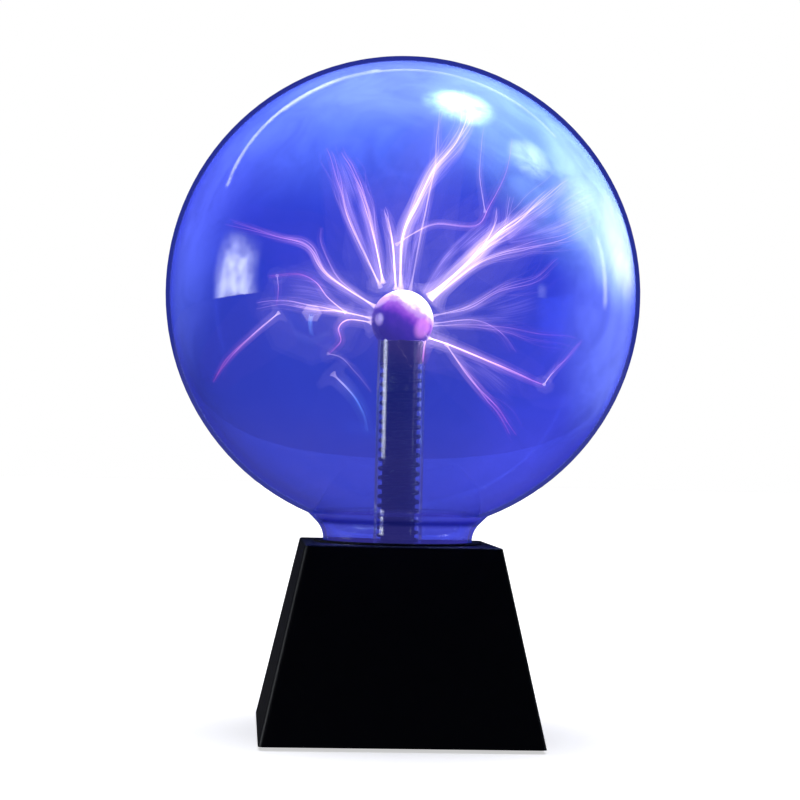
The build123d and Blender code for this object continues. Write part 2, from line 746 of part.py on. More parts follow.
def transistor_screw():
    """The screw that holds the transistor to the heatsink."""
    tab_front = heatsink_x - pad_gap - transistor_tab[0]
    length = transistor_tab[0] + pad_gap + heatsink_base
    shank = Pos(tab_front + length / 2, 0, 0) * Rot(0, 90, 0) * Cylinder(transistor_screw_radius, length)
    head_radius, head_height = transistor_screw_head
    slot_depth, slot_length = transistor_screw_slot
    head = Pos(tab_front - head_height / 2, 0, 0) * Rot(0, 90, 0) * Cylinder(head_radius, head_height)
    head = fillet(head.faces().sort_by(Axis.X)[0].edges(), transistor_head_rounding)
    slot = Box(slot_depth, slot_length, drive_slot_width) + Box(slot_depth, drive_slot_width, slot_length)
    slot = Pos(tab_front - head_height + slot_depth / 2, 0, 0) * slot
    return Pos(0, heatsink_y, screw_hole_z()) * (shank + head - slot)


def electrolytic_capacitors():
    """Two upright smoothing capacitors with a rolled groove near the foot."""
    cans = []
    for at in can_places:
        can = disc(can_radius, board_top_z, board_top_z + can_height, at=at)
        can = fillet(can.faces().sort_by(Axis.Z)[-1].edges(), can_rounding)
        groove = Torus(can_radius + can_groove_offset, can_groove_radius)
        groove = Pos(at[0], at[1], board_top_z + can_groove_height) * groove
        cans.append(can - groove)
    return cans


def film_capacitor():
    """A box film capacitor."""
    case = block(film_case_size, film_case_place, board_top_z)
    outer_edges = case.edges().filter_by(Axis.Z) + case.faces().sort_by(Axis.Z)[-1].edges()
    return fillet(outer_edges, film_case_rounding)


def axial_part(at, body, legs, turn=0):
    """A leaded part that lies on the board on its two bent legs, turned from the X direction."""
    body_radius, body_length = body
    leg_radius, pitch = legs
    lift = body_radius + axial_lift
    half = pitch / 2
    points = [(-half, 0, 0), (-half, 0, lift), (half, 0, lift), (half, 0, 0)]
    path = FilletPolyline(*points, radius=lift * leg_bend_share)
    part = sweep(Plane(origin=path @ 0, z_dir=path % 0) * Circle(leg_radius), path=path)
    rod = Pos(0, 0, lift) * Rot(0, 90, 0) * Cylinder(body_radius, body_length)
    part += fillet(rod.edges().filter_by(GeomType.CIRCLE), body_radius * body_rounding_share)
    return Pos(at[0], at[1], board_top_z) * Rot(0, 0, turn) * part


def resistors():
    """Five resistors lying on the board."""
    rows = [axial_part(at, resistor_body, resistor_legs) for at in resistor_rows]
    columns = [axial_part(at, resistor_body, resistor_legs, turn=90) for at in resistor_columns]
    return rows + columns


def diode():
    """The rectifier beside the transistor."""
    return axial_part(diode_place, diode_body, diode_legs)


def control_chip():
    """The eight-legged oscillator chip."""
    at_x, at_y = chip_place
    top = board_top_z + chip_lift + chip_size[2]
    body = block(chip_size, chip_place, board_top_z + chip_lift)
    body = chamfer(body.faces().sort_by(Axis.Z)[-1].edges(), chip_chamfer)
    notch_at = (at_x - chip_size[0] / 2, at_y)
    notch = disc(chip_notch_radius, top - chip_notch_depth, top + cut_past, at=notch_at)
    chip = body - notch
    for index in range(chip_legs_per_side):
        leg_x = at_x + (index - (chip_legs_per_side - 1) / 2) * leg_pitch
        for side in (-1, 1):
            shoulder_z = board_top_z + chip_leg[2] - chip_shoulder[2]
            chip += block(chip_leg, (leg_x, at_y + side * chip_leg_offset), board_top_z)
            chip += block(chip_shoulder, (leg_x, at_y + side * chip_shoulder_offset), shoulder_z)
    return chip


def switch_housing():
    """The bezel and box of the rocker switch."""
    bezel = block(switch_bezel, (0, 0), 0)
    bezel = fillet(bezel.edges().filter_by(Axis.Z), bezel_corner_radius)
    bezel = fillet(bezel.faces().sort_by(Axis.Z)[-1].edges(), bezel_rim_radius)
    box = block(switch_body, (0, 0), -switch_body[2])
    cavity_height = switch_body[2] - switch_floor + switch_bezel[2] + cut_past
    housing = bezel + box - block((switch_cavity[0], switch_cavity[1], cavity_height), (0, 0),
                                  switch_floor - switch_body[2])
    bearing_length = rocker_width + 2 * (rocker_pin_length + rocker_end_play)
    bearing = Rot(0, 90, 0) * Cylinder(rocker_pin_radius + rocker_bearing_clearance, bearing_length)
    housing -= Pos(0, 0, -rocker_pivot_depth) * bearing
    slot_size = (terminal_width + joint_gap, terminal_thickness + joint_gap, switch_floor + 2 * cut_past)
    for place in (-terminal_spacing, 0, terminal_spacing):
        housing -= block(slot_size, (0, place), -switch_body[2] - cut_past)
    return rear_plane(switch_x, switch_z).location * housing


def switch_rocker():
    """The rocker, pressed at its upper end, with its two pivot pins and its plunger."""
    barrel = Rot(0, 90, 0) * Cylinder(rocker_end_radius, rocker_width)
    valley = rocker_valley + rocker_pivot_depth
    rise = math.tan(math.radians(rocker_throw)) * rocker_end_radius
    half = rocker_width / 2
    top_cut = Plane.YZ * Polygon(
        (-rocker_end_radius, valley + rise), (0, valley), (rocker_end_radius, valley + rise),
        (rocker_end_radius, 2 * rocker_end_radius), (-rocker_end_radius, 2 * rocker_end_radius), align=None)
    top_cut = Pos(-half - cut_past, 0, 0) * extrude(top_cut, rocker_width + 2 * cut_past)
    floor_z = rocker_pivot_depth - rocker_bottom_depth
    floor_cut = (rocker_width + 2 * cut_past, 2 * rocker_end_radius, rocker_end_radius)
    barrel = barrel - top_cut - block(floor_cut, (0, 0), floor_z - rocker_end_radius)
    top_edges = [e for e in barrel.edges() if e.center().Z > valley and abs(e.tangent_at(0.5).X) < 0.5]
    barrel = fillet(top_edges, rocker_edge_radius)
    pins = Rot(0, 90, 0) * Cylinder(rocker_pin_radius, rocker_width + 2 * rocker_pin_length)
    shaft_z = -plunger_reach + plunger_radius
    plunger = disc(plunger_radius, shaft_z, floor_z) + Pos(0, 0, shaft_z) * Sphere(plunger_radius)
    rocker = barrel + pins + plunger
    pivot = Pos(0, 0, -rocker_pivot_depth)
    return rear_plane(switch_x, switch_z).location * pivot * Rot(-rocker_throw, 0, 0) * rocker


def switch_contact():
    """The seesaw blade that joins the middle terminal to one of the outer two."""
    blade = Box(*contact_size)
    blade = fillet(blade.edges().filter_by(Axis.Z), contact_corner_radius)
    rivet_z = -contact_size[2] / 2 - contact_rivet_height
    for side in (-1, 1):
        place = side * (contact_size[1] / 2 - contact_rivet_radius)
        blade += disc(contact_rivet_radius, rivet_z, 0, at=(0, place))
    pivot = Pos(0, 0, -contact_pivot_depth)
    return rear_plane(switch_x, switch_z).location * pivot * Rot(contact_tilt, 0, 0) * blade


def switch_terminals():
    """Three flat terminals through the floor of the switch."""
    blades = []
    for place in (-terminal_spacing, 0, terminal_spacing):
        tip = centre_contact_depth if place == 0 else side_contact_depth
        height = terminal_tip_depth - tip
        blade = block((terminal_width, terminal_thickness, height), (0, place), -terminal_tip_depth)
        eye = Rot(90, 0, 0) * Cylinder(terminal_eye_radius, terminal_thickness + 2 * cut_past)
        eye = Pos(0, place, terminal_eye_height - terminal_tip_depth) * eye
        blades.append(rear_plane(switch_x, switch_z).location * (blade - eye))
    return blades


def jack_body():
    """The round body of the supply socket with its front flange."""
    body = disc(jack_body_radius, -jack_body_length, 0)
    flange = disc(jack_flange_radius, 0, jack_flange_thickness)
    flange = fillet(flange.faces().sort_by(Axis.Z)[-1].edges(), jack_flange_rounding)
    jack = body + flange - disc(jack_bore_radius, -jack_bore_depth, jack_flange_thickness + cut_past)
    slot_foot = -jack_body_length - cut_past
    jack -= disc(jack_pin_base_radius + joint_gap / 4, slot_foot, -jack_bore_depth + cut_past)
    jack -= blade_slot(jack_blade[0] + joint_gap, jack_blade[1] + joint_gap, slot_foot, -jack_slot_recess)
    return rear_plane(jack_x, jack_z).location * jack


def blade_slot(width, thickness, z_low, z_high):
    """The strip of space beside the socket's bore that the outer contact lies in."""
    return block((width, thickness, z_high - z_low), (0, -jack_bore_radius - jack_blade[1] / 2), z_low)


def jack_contact():
    """The socket's outer contact, a strip along the bore that ends in a solder tail."""
    strip = blade_slot(*jack_blade, -jack_body_length - jack_lug_length, -jack_blade_recess)
    return rear_plane(jack_x, jack_z).location * strip


def jack_pin():
    """The socket's centre pin with its rounded nose and solder tail."""
    nose_z = -jack_pin_recess
    pin = disc(jack_pin_radius, -jack_bore_depth, nose_z)
    pin = fillet(pin.faces().sort_by(Axis.Z)[-1].edges(), jack_pin_rounding)
    root = disc(jack_pin_base_radius, -jack_body_length, -jack_bore_depth)
    tail = disc(jack_lug_radius, -jack_body_length - jack_lug_length, -jack_body_length)
    return rear_plane(jack_x, jack_z).location * (pin + root + tail)


def jack_nut():
    """The hexagon nut that clamps the socket from inside the wall."""
    wall = base_wall * math.cos(shell_lean)
    nut = extrude(RegularPolygon(jack_nut_flats / 2, 6, major_radius=False), jack_nut_thickness)
    nut -= disc(jack_body_radius + joint_gap / 2, -cut_past, jack_nut_thickness + cut_past)
    return rear_plane(jack_x, jack_z).location * Pos(0, 0, -wall - jack_nut_thickness - joint_gap / 2) * nut


def microphone_boot():
    """The rubber boot that seats the microphone against the wall."""
    wall = base_wall * math.cos(shell_lean)
    back = -wall - boot_front - microphone_length
    boot = disc(boot_radius, back, -wall - joint_gap / 2)
    boot -= disc(microphone_radius + joint_gap / 2, back - cut_past, -wall - boot_front)
    boot -= disc(microphone_hole_radius, back, 0)
    return rear_plane(microphone_x, microphone_z).location * boot


def microphone_capsule():
    """The round electret microphone."""
    wall = base_wall * math.cos(shell_lean)
    front = -wall - boot_front
    capsule = disc(microphone_radius, front - microphone_length, front)
    capsule = fillet(capsule.faces().sort_by(Axis.Z)[-1].edges(), microphone_rounding)
    port_radius, port_depth = microphone_port
    capsule -= disc(port_radius, front - port_depth, front + cut_past)
    return rear_plane(microphone_x, microphone_z).location * capsule


def world_point(plane, x, y, z):
    """A point given on a rear plane, in the model's frame."""
    return plane.from_local_coords(Vector(x, y, z))


def drop_wire(start, inward, board_at, radius):
    """A wire that leaves a tail inward and comes down square on to the board."""
    direction = Vector(0, -math.cos(shell_lean), -math.sin(shell_lean))
    turn = start + direction * inward
    end = Vector(*board_at, board_top_z)
    knee = Vector(*board_at, (board_top_z + turn.Z) / 2 + wire_knee_rise)
    return wire_solid([start, turn, knee, end], radius, [wire_bend_radius, wire_bend_radius])


def jack_wires():
    """Two wires from the supply socket down to the board."""
    plane = rear_plane(jack_x, jack_z)
    tail = -jack_body_length - jack_lug_length
    contact_y = -jack_bore_radius - jack_blade[1] / 2
    starts = [world_point(plane, 0, 0, tail), world_point(plane, 0, contact_y, tail)]
    return [drop_wire(start, jack_wire_reach, end, supply_wire_radius)
            for start, end in zip(starts, jack_wire_ends)]


def switch_wires():
    """Three wires from the switch's terminals down to the board."""
    plane = rear_plane(switch_x, switch_z)
    places = (terminal_spacing, 0, -terminal_spacing)
    starts = [world_point(plane, 0, place, -terminal_tip_depth) for place in places]
    return [drop_wire(start, switch_wire_reach, end, supply_wire_radius)
            for start, end in zip(starts, switch_wire_ends)]


def microphone_wires():
    """Two thin wires from the microphone down to the board."""
    plane = rear_plane(microphone_x, microphone_z)
    wall = base_wall * math.cos(shell_lean)
    back = -wall - boot_front - microphone_length
    starts = [world_point(plane, side * microphone_tail_offset, 0, back) for side in (1, -1)]
    return [drop_wire(start, microphone_wire_reach, end, signal_wire_radius)
            for start, end in zip(starts, microphone_wire_ends)]


def hv_lead():
    """The insulated high-voltage lead from the transformer up inside the stem."""
    leg = core_legs()[0]
    outlet_x = leg[0] - bobbin_flange_radius - outlet_lead_reach
    outlet_z = core_bottom_z + core_yoke_height + core_window - joint_gap
    points = [
        (outlet_x, leg[1], outlet_z),
        (outlet_x, leg[1], lead_cross_z),
        (0, 0, lead_cross_z),
        (0, 0, cap_seat_z() - cap_guide_length),
    ]
    return wire_solid(points, lead_radius, lead_bends)


parts = {
    "globe_glass": globe_glass(),
    "stem_tube": stem_tube(),
    "electrode_bulb": electrode_bulb(),
    "electrode_lining": electrode_lining(),
    "exhaust_tip": exhaust_tip(),
    "stem_plug": stem_plug(),
    "stem_liner": stem_liner(),
    "contact_spring": contact_spring(),
    "contact_cap": contact_cap(),
    "hv_lead": hv_lead(),
    "base_shell": base_shell(),
    "neck_gasket": neck_gasket(),
    "globe_cradle": globe_cradle(),
    "cradle_pad": cradle_pad(),
    "cradle_screws": cradle_screws(),
    "base_plate": base_plate(),
    "base_screws": base_screws(),
    "rubber_feet": rubber_feet(),
    "circuit_board": circuit_board(),
    "board_screws": board_screws(),
    "transformer_core": transformer_core(),
    "transformer_bobbin": transformer_bobbin(),
    "secondary_winding": secondary_winding(),
    "primary_winding": primary_winding(),
    "transformer_clip": transformer_clip(),
    "heatsink": heatsink(),
    "power_transistor": power_transistor(),
    "insulating_pad": insulating_pad(),
    "transistor_screw": transistor_screw(),
    "electrolytic_capacitors": electrolytic_capacitors(),
    "film_capacitor": film_capacitor(),
    "resistors": resistors(),
    "diode": diode(),
    "control_chip": control_chip(),
    "switch_housing": switch_housing(),
    "switch_rocker": switch_rocker(),
    "switch_contact": switch_contact(),
    "switch_terminals": switch_terminals(),
    "dc_jack_body": jack_body(),
    "dc_jack_pin": jack_pin(),
    "dc_jack_contact": jack_contact(),
    "dc_jack_nut": jack_nut(),
    "microphone_boot": microphone_boot(),
    "microphone_capsule": microphone_capsule(),
    "jack_wires": jack_wires(),
    "switch_wires": switch_wires(),
    "microphone_wires": microphone_wires(),
}

os.makedirs("parts", exist_ok=True)
for name, shape in parts.items():
    solids = shape if isinstance(shape, list) else [shape]
    solids = [solid for piece in solids for solid in piece.solids()]
    export_step(Compound(children=solids) if len(solids) > 1 else solids[0], f"parts/{name}.step")
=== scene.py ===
import math
import random

import bpy
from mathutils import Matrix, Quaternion, Vector, noise


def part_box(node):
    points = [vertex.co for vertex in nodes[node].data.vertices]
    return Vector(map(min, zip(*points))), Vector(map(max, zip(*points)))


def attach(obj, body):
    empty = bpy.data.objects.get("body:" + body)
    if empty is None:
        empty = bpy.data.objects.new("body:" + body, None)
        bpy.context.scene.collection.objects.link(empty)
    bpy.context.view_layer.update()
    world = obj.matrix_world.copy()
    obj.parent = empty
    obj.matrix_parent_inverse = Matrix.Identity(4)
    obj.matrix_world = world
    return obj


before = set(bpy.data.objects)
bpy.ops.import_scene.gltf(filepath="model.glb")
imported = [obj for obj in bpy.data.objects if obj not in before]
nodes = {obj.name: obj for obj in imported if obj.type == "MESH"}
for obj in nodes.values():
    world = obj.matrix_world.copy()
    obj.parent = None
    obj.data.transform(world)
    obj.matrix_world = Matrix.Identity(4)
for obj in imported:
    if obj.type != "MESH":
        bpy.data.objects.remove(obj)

mm = 0.001
noise.seed_set(7)                # without a seed the streamers waver another way each run
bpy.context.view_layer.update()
scene = bpy.context.scene
print("frame loaded:", len(nodes), "nodes")

globeLow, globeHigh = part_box("globe_glass")
bulbLow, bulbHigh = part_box("electrode_bulb")
globeRadius = (globeHigh.x - globeLow.x) / 2
globeCentre = Vector((0, 0, globeHigh.z - globeRadius))
bulbRadius = (bulbHigh.x - bulbLow.x) / 2
bulbCentre = Vector((0, 0, bulbHigh.z - bulbRadius))


def fromHex(text):
    channels = [int(text[i:i + 2], 16) / 255 for i in (1, 3, 5)]
    return tuple(c / 12.92 if c <= 0.04045 else ((c + 0.055) / 1.055) ** 2.4 for c in channels) + (1.0,)


def addNode(tree, kind, inputs=None, **settings):
    # a node given as an input stands for its first output
    node = tree.nodes.new(kind if "Node" in kind else "ShaderNode" + kind)
    for key, value in settings.items():
        setattr(node, key, value)
    for key, value in (inputs or {}).items():
        if isinstance(value, bpy.types.Node):
            value = value.outputs[0]
        if isinstance(value, bpy.types.NodeSocket):
            tree.links.new(value, node.inputs[key])
        else:
            node.inputs[key].default_value = value
    return node


def newMaterial(name):
    material = bpy.data.materials.new(name)
    material.use_nodes = True
    material.node_tree.nodes.clear()
    material.cycles.emission_sampling = "NONE"       # no glow is searched for as a lamp
    return material, material.node_tree


def showSurface(tree, shader):
    addNode(tree, "OutputMaterial", {"Surface": shader})


def showGlow(tree, colour, power, clear=(1, 1, 1, 1)):
    # light with no surface of its own: it adds to what is behind it
    light = addNode(tree, "Emission", {"Color": colour, "Strength": power})
    behind = addNode(tree, "BsdfTransparent", {"Color": clear})
    showSurface(tree, addNode(tree, "AddShader", {0: behind, 1: light}))


def cloudPattern(tree, place, look):
    # soft noise, stretched from one range to another
    cloud = addNode(tree, "TexNoise", {
        "Vector": place, "Scale": look["scale"], "Detail": look["detail"],
        "Roughness": look.get("rough", 0.5), "Distortion": look.get("twist", 0.0)})
    return addNode(tree, "MapRange", {
        "Value": cloud, "From Min": look["from"][0], "From Max": look["from"][1],
        "To Min": look["to"][0], "To Max": look["to"][1]}, interpolation_type=look.get("ease", "LINEAR"))


def outwardFrom(tree, centre):
    # the direction of each point as seen from a centre
    place = addNode(tree, "TexCoord").outputs["Object"]
    away = addNode(tree, "VectorMath", {0: place, 1: centre}, operation="SUBTRACT")
    return addNode(tree, "VectorMath", {0: away}, operation="NORMALIZE")


def likeness(tree, ahead, towards):
    # cosine of the angle between two directions
    return addNode(tree, "VectorMath", {0: ahead, 1: Vector(towards).normalized()},
                   operation="DOT_PRODUCT").outputs["Value"]


def spotShare(tree, ahead, towards, start, stop, most=1.0):
    # rises smoothly from the edge of a spot to its middle
    return addNode(tree, "MapRange", {
        "Value": likeness(tree, ahead, towards), "From Min": start, "From Max": stop, "To Max": most},
        interpolation_type="SMOOTHERSTEP")


def addLight(tree, total, share, colour):
    return addNode(tree, "Mix", {"Factor": share, "A": total, "B": colour + (1.0,)}, data_type="RGBA",
                   blend_type="ADD", clamp_factor=False).outputs["Result"]


def setRamp(node, stops):
    ramp = node.color_ramp
    while len(ramp.elements) < len(stops):
        ramp.elements.new(0.5)
    for element, (place, colour) in zip(ramp.elements, stops):
        element.position = place
        element.color = colour


def dress(nodeName, material):
    for i in range(len(nodes[nodeName].data.materials)):
        nodes[nodeName].material_slots[i].link = "OBJECT"
        nodes[nodeName].material_slots[i].material = material


cameraPlace = {
    "distance": 890 * mm,
    "height": 116.7 * mm,
    "turn": math.radians(-4.3),      # seen from a little to the object's left
    "roll": math.radians(1.3),
    "lens": 94.5,
    "sensor": 36.0,
    "shift": (0.001, 0.073),
    "nearest": 10 * mm,
}
sight = Vector((-math.sin(cameraPlace["turn"]), math.cos(cameraPlace["turn"]), 0))
cameraSpot = Vector((0, 0, cameraPlace["height"])) - sight * cameraPlace["distance"]
cameraData = bpy.data.cameras.new("camera")
cameraData.lens = cameraPlace["lens"]
cameraData.sensor_width = cameraPlace["sensor"]
cameraData.shift_x, cameraData.shift_y = cameraPlace["shift"]
cameraData.clip_start = cameraPlace["nearest"]
camera = bpy.data.objects.new("camera", cameraData)
camera.location = cameraSpot
rolled = Quaternion((0, 0, 1), cameraPlace["roll"])
camera.rotation_euler = (sight.to_track_quat("-Z", "Y") @ rolled).to_euler()
scene.collection.objects.link(camera)
scene.camera = camera

crossings = {"glow": 256, "glass": 24}       # sheets of glow and walls of glass that light may cross
scene.view_settings.view_transform = "Standard"
scene.cycles.transparent_max_bounces = crossings["glow"]
scene.cycles.max_bounces = crossings["glass"]
scene.cycles.transmission_bounces = crossings["glass"]
print("camera set")


# a white surround that is seen straight or through glass, and soft boxes in a dark room that reflections see
studio = {
    "surround": "#ffffff",
    "dark": (0.012, 0.014, 0.03, 1),
    "boxColour": (0.9, 0.95, 1.0, 1),
    # folds across the boxes' light
    "curtain": {"scale": 7.0, "detail": 3.0, "from": (0.36, 0.58), "to": (0.35, 1.0)},
}
softBoxes = [
    {"towards": (-1.0, 0.02, -0.15), "along": (0, -1, 0), "half": (0.18, 0.46), "soft": 0.12, "power": 7.5},
    {"towards": (-0.42, 0.62, 0.66), "along": (1, 0, 0), "half": (0.42, 0.012), "soft": 0.014, "power": 4.0},
    {"towards": (0.10, 0.66, 0.75), "along": (1, 0, 0), "half": (0.55, 0.010), "soft": 0.012, "power": 2.4},
    {"towards": (0.93, 0.30, 0.16), "along": (-0.3, 0.93, 0), "half": (0.02, 0.16), "soft": 0.03, "power": 3.0},
    {"towards": (0.88, -0.42, 0.02), "along": (0.42, 0.88, 0), "half": (0.035, 0.04), "soft": 0.03,
     "power": 1.3},
]


def boxLevel(tree, direction, box):
    ahead = Vector(box["towards"]).normalized()
    across = Vector(box["along"])
    across = (across - ahead * across.dot(ahead)).normalized()
    up = ahead.cross(across).normalized()
    depth = likeness(tree, direction, ahead)
    level = addNode(tree, "Math", {0: depth, 1: 0.0}, operation="GREATER_THAN")
    for axis, half in zip((across, up), box["half"]):
        slope = addNode(tree, "Math", {0: likeness(tree, direction, axis), 1: depth}, operation="DIVIDE")
        away = addNode(tree, "Math", {0: slope}, operation="ABSOLUTE")
        edge = addNode(tree, "MapRange", {
            "Value": away, "From Min": half - box["soft"], "From Max": half + box["soft"],
            "To Min": 1.0, "To Max": 0.0}, interpolation_type="SMOOTHSTEP")
        level = addNode(tree, "Math", {0: level, 1: edge}, operation="MULTIPLY")
    return addNode(tree, "Math", {0: level, 1: box["power"]}, operation="MULTIPLY")


def lightRoom(tree):
    path = addNode(tree, "LightPath").outputs
    seen = addNode(tree, "Math", {0: path["Is Camera Ray"], 1: path["Is Transmission Ray"]},
                   operation="MAXIMUM")
    turned = addNode(tree, "Math", {0: path["Diffuse Depth"], 1: path["Glossy Depth"]}, operation="ADD",
                     use_clamp=True)
    straight = addNode(tree, "Math", {0: seen, 1: turned}, operation="SUBTRACT", use_clamp=True)
    direction = addNode(tree, "TexCoord").outputs["Generated"]
    level = 0.0
    for box in softBoxes:
        level = addNode(tree, "Math", {0: boxLevel(tree, direction, box), 1: level}, operation="ADD")
    folds = cloudPattern(tree, direction, studio["curtain"])
    level = addNode(tree, "Math", {0: level, 1: folds}, operation="MULTIPLY")
    room = addNode(tree, "Background", {"Color": studio["dark"], "Strength": 1.0})
    boxes = addNode(tree, "Background", {"Color": studio["boxColour"], "Strength": level})
    reflected = addNode(tree, "AddShader", {0: room, 1: boxes})
    surround = addNode(tree, "Background", {"Color": fromHex(studio["surround"]), "Strength": 1.0})
    both = addNode(tree, "MixShader", {0: straight, 1: reflected, 2: surround})
    addNode(tree, "OutputWorld", {"Surface": both})


world = bpy.data.worlds.new("studio")
world.use_nodes = True
world.node_tree.nodes.clear()
lightRoom(world.node_tree)
scene.world = world

sunlight = {"strength": 2.6, "softness": math.radians(50)}
lamp = bpy.data.lights.new("overhead", "SUN")
lamp.energy = sunlight["strength"]
lamp.angle = sunlight["softness"]
lampObject = bpy.data.objects.new("overhead", lamp)
lampObject.visible_camera = False
lampObject.visible_glossy = False
lampObject.visible_transmission = False
scene.collection.objects.link(lampObject)

floorLook = {"size": 8.0, "ownLight": 0.62, "white": "#f8f8f8", "bounced": "#2a2a2c"}


def floorPaint():
    # smooth painted board, bright to the eye and dim in reflections
    material, tree = newMaterial("pale studio floor")
    path = addNode(tree, "LightPath").outputs
    bounced = addNode(tree, "Math", {0: path["Diffuse Depth"], 1: path["Glossy Depth"]}, operation="ADD",
                      use_clamp=True)
    colour = addNode(tree, "Mix", {
        "Factor": bounced, "A": fromHex(floorLook["white"]), "B": fromHex(floorLook["bounced"])},
        data_type="RGBA").outputs["Result"]
    lit = addNode(tree, "BsdfDiffuse", {"Color": colour})
    glow = addNode(tree, "Emission", {"Color": colour, "Strength": floorLook["ownLight"]})
    showSurface(tree, addNode(tree, "AddShader", {0: lit, 1: glow}))
    return material


floorMesh = bpy.data.meshes.new("floor")
floorMesh.from_pydata([(x * floorLook["size"], y * floorLook["size"], 0)
                       for x, y in ((-1, -1), (1, -1), (1, 1), (-1, 1))], [], [(0, 1, 2, 3)])
floorMesh.materials.append(floorPaint())
floor = bpy.data.objects.new("floor", floorMesh)
scene.collection.objects.link(floor)
print("studio set")


glass = {
    "index": 1.5,
    "clear": (0.97, 0.98, 1.0, 1),
    "edge": (0.30, 0.36, 0.92, 1),           # painted glow: blue tint where the line of sight runs along the wall
    "edgeFrom": 0.70,
    "edgeFull": 0.84,
    # painted glow: blue light the glass gives off at its rim
    "paintedRimGlow": (0.045, 0.07, 0.75, 1),
    "paintedRimGlowLevel": (0.06, 0.24),           # facing, and along the wall
    "creaseShade": (0.16, 0.17, 0.50, 1),           # painted shade: dark band on the thick fold where ball and neck meet
    "creaseShadeHeight": 90.4 * mm,
    "creaseShadeHalf": 2.2 * mm,
}
drawnTube = {
    "colour": (0.93, 0.95, 1.0, 1),
    "rough": 0.02,
    "cords": (900, 900, 12),                 # noise cells in a metre, across and along the tube
    "cordDetail": 2.0,
    "bump": 0.08,
    "bumpHeight": 0.05 * mm,
}


def globeGlass():
    # blown soda-lime glass: clear and glossy; painted glow, a blue tint and faint blue light, where the line of
    # sight runs along the wall; painted shade in a dark band at the fold of ball and neck
    material, tree = newMaterial("blown soda-lime glass")
    # painted glow: the glass turns blue where it is seen edge-on
    facing = addNode(tree, "LayerWeight", {"Blend": 0.5}).outputs["Facing"]
    rim = addNode(tree, "MapRange", {
        "Value": facing, "From Min": glass["edgeFrom"], "From Max": glass["edgeFull"]})
    tint = addNode(tree, "Mix", {"Factor": rim, "A": glass["clear"], "B": glass["edge"]},
                   data_type="RGBA").outputs["Result"]
    place = addNode(tree, "TexCoord").outputs["Object"]
    height = addNode(tree, "SeparateXYZ", {0: place}).outputs["Z"]
    # painted shade: the glass darkens in a band at the fold's height
    above = addNode(tree, "Math", {0: height, 1: glass["creaseShadeHeight"]}, operation="SUBTRACT")
    away = addNode(tree, "Math", {0: above}, operation="ABSOLUTE")
    creaseShade = addNode(tree, "MapRange", {
        "Value": away, "From Min": 0.0, "From Max": glass["creaseShadeHalf"], "To Min": 1.0, "To Max": 0.0},
        interpolation_type="SMOOTHSTEP")
    tint = addNode(tree, "Mix", {"Factor": creaseShade, "A": tint, "B": glass["creaseShade"]},
                   data_type="RGBA").outputs["Result"]
    # painted glow: the rim gives off blue light, more the further along the wall the line of sight runs
    glow = addNode(tree, "MapRange", {
        "Value": rim, "To Min": glass["paintedRimGlowLevel"][0], "To Max": glass["paintedRimGlowLevel"][1]})
    showSurface(tree, addNode(tree, "BsdfPrincipled", {
        "Base Color": tint, "Roughness": 0.0, "IOR": glass["index"], "Transmission Weight": 1.0,
        "Emission Color": glass["paintedRimGlow"], "Emission Strength": glow}))
    return material


def stemGlass():
    # drawn lead-free glass tube: clear, with the faint cords that drawing leaves along it
    material, tree = newMaterial("drawn glass tube")
    place = addNode(tree, "TexCoord").outputs["Object"]
    stretched = addNode(tree, "Mapping", {"Vector": place, "Scale": drawnTube["cords"]})
    cords = addNode(tree, "TexNoise", {"Vector": stretched, "Scale": 1.0, "Detail": drawnTube["cordDetail"]})
    bump = addNode(tree, "Bump", {
        "Height": cords, "Strength": drawnTube["bump"], "Distance": drawnTube["bumpHeight"]})
    showSurface(tree, addNode(tree, "BsdfPrincipled", {
        "Base Color": drawnTube["colour"], "Roughness": drawnTube["rough"], "IOR": glass["index"],
        "Transmission Weight": 1.0, "Normal": bump}))
    return material


dress("globe_glass", globeGlass())
tubeGlass = stemGlass()
dress("stem_tube", tubeGlass)
dress("exhaust_tip", tubeGlass)
print("glass done")


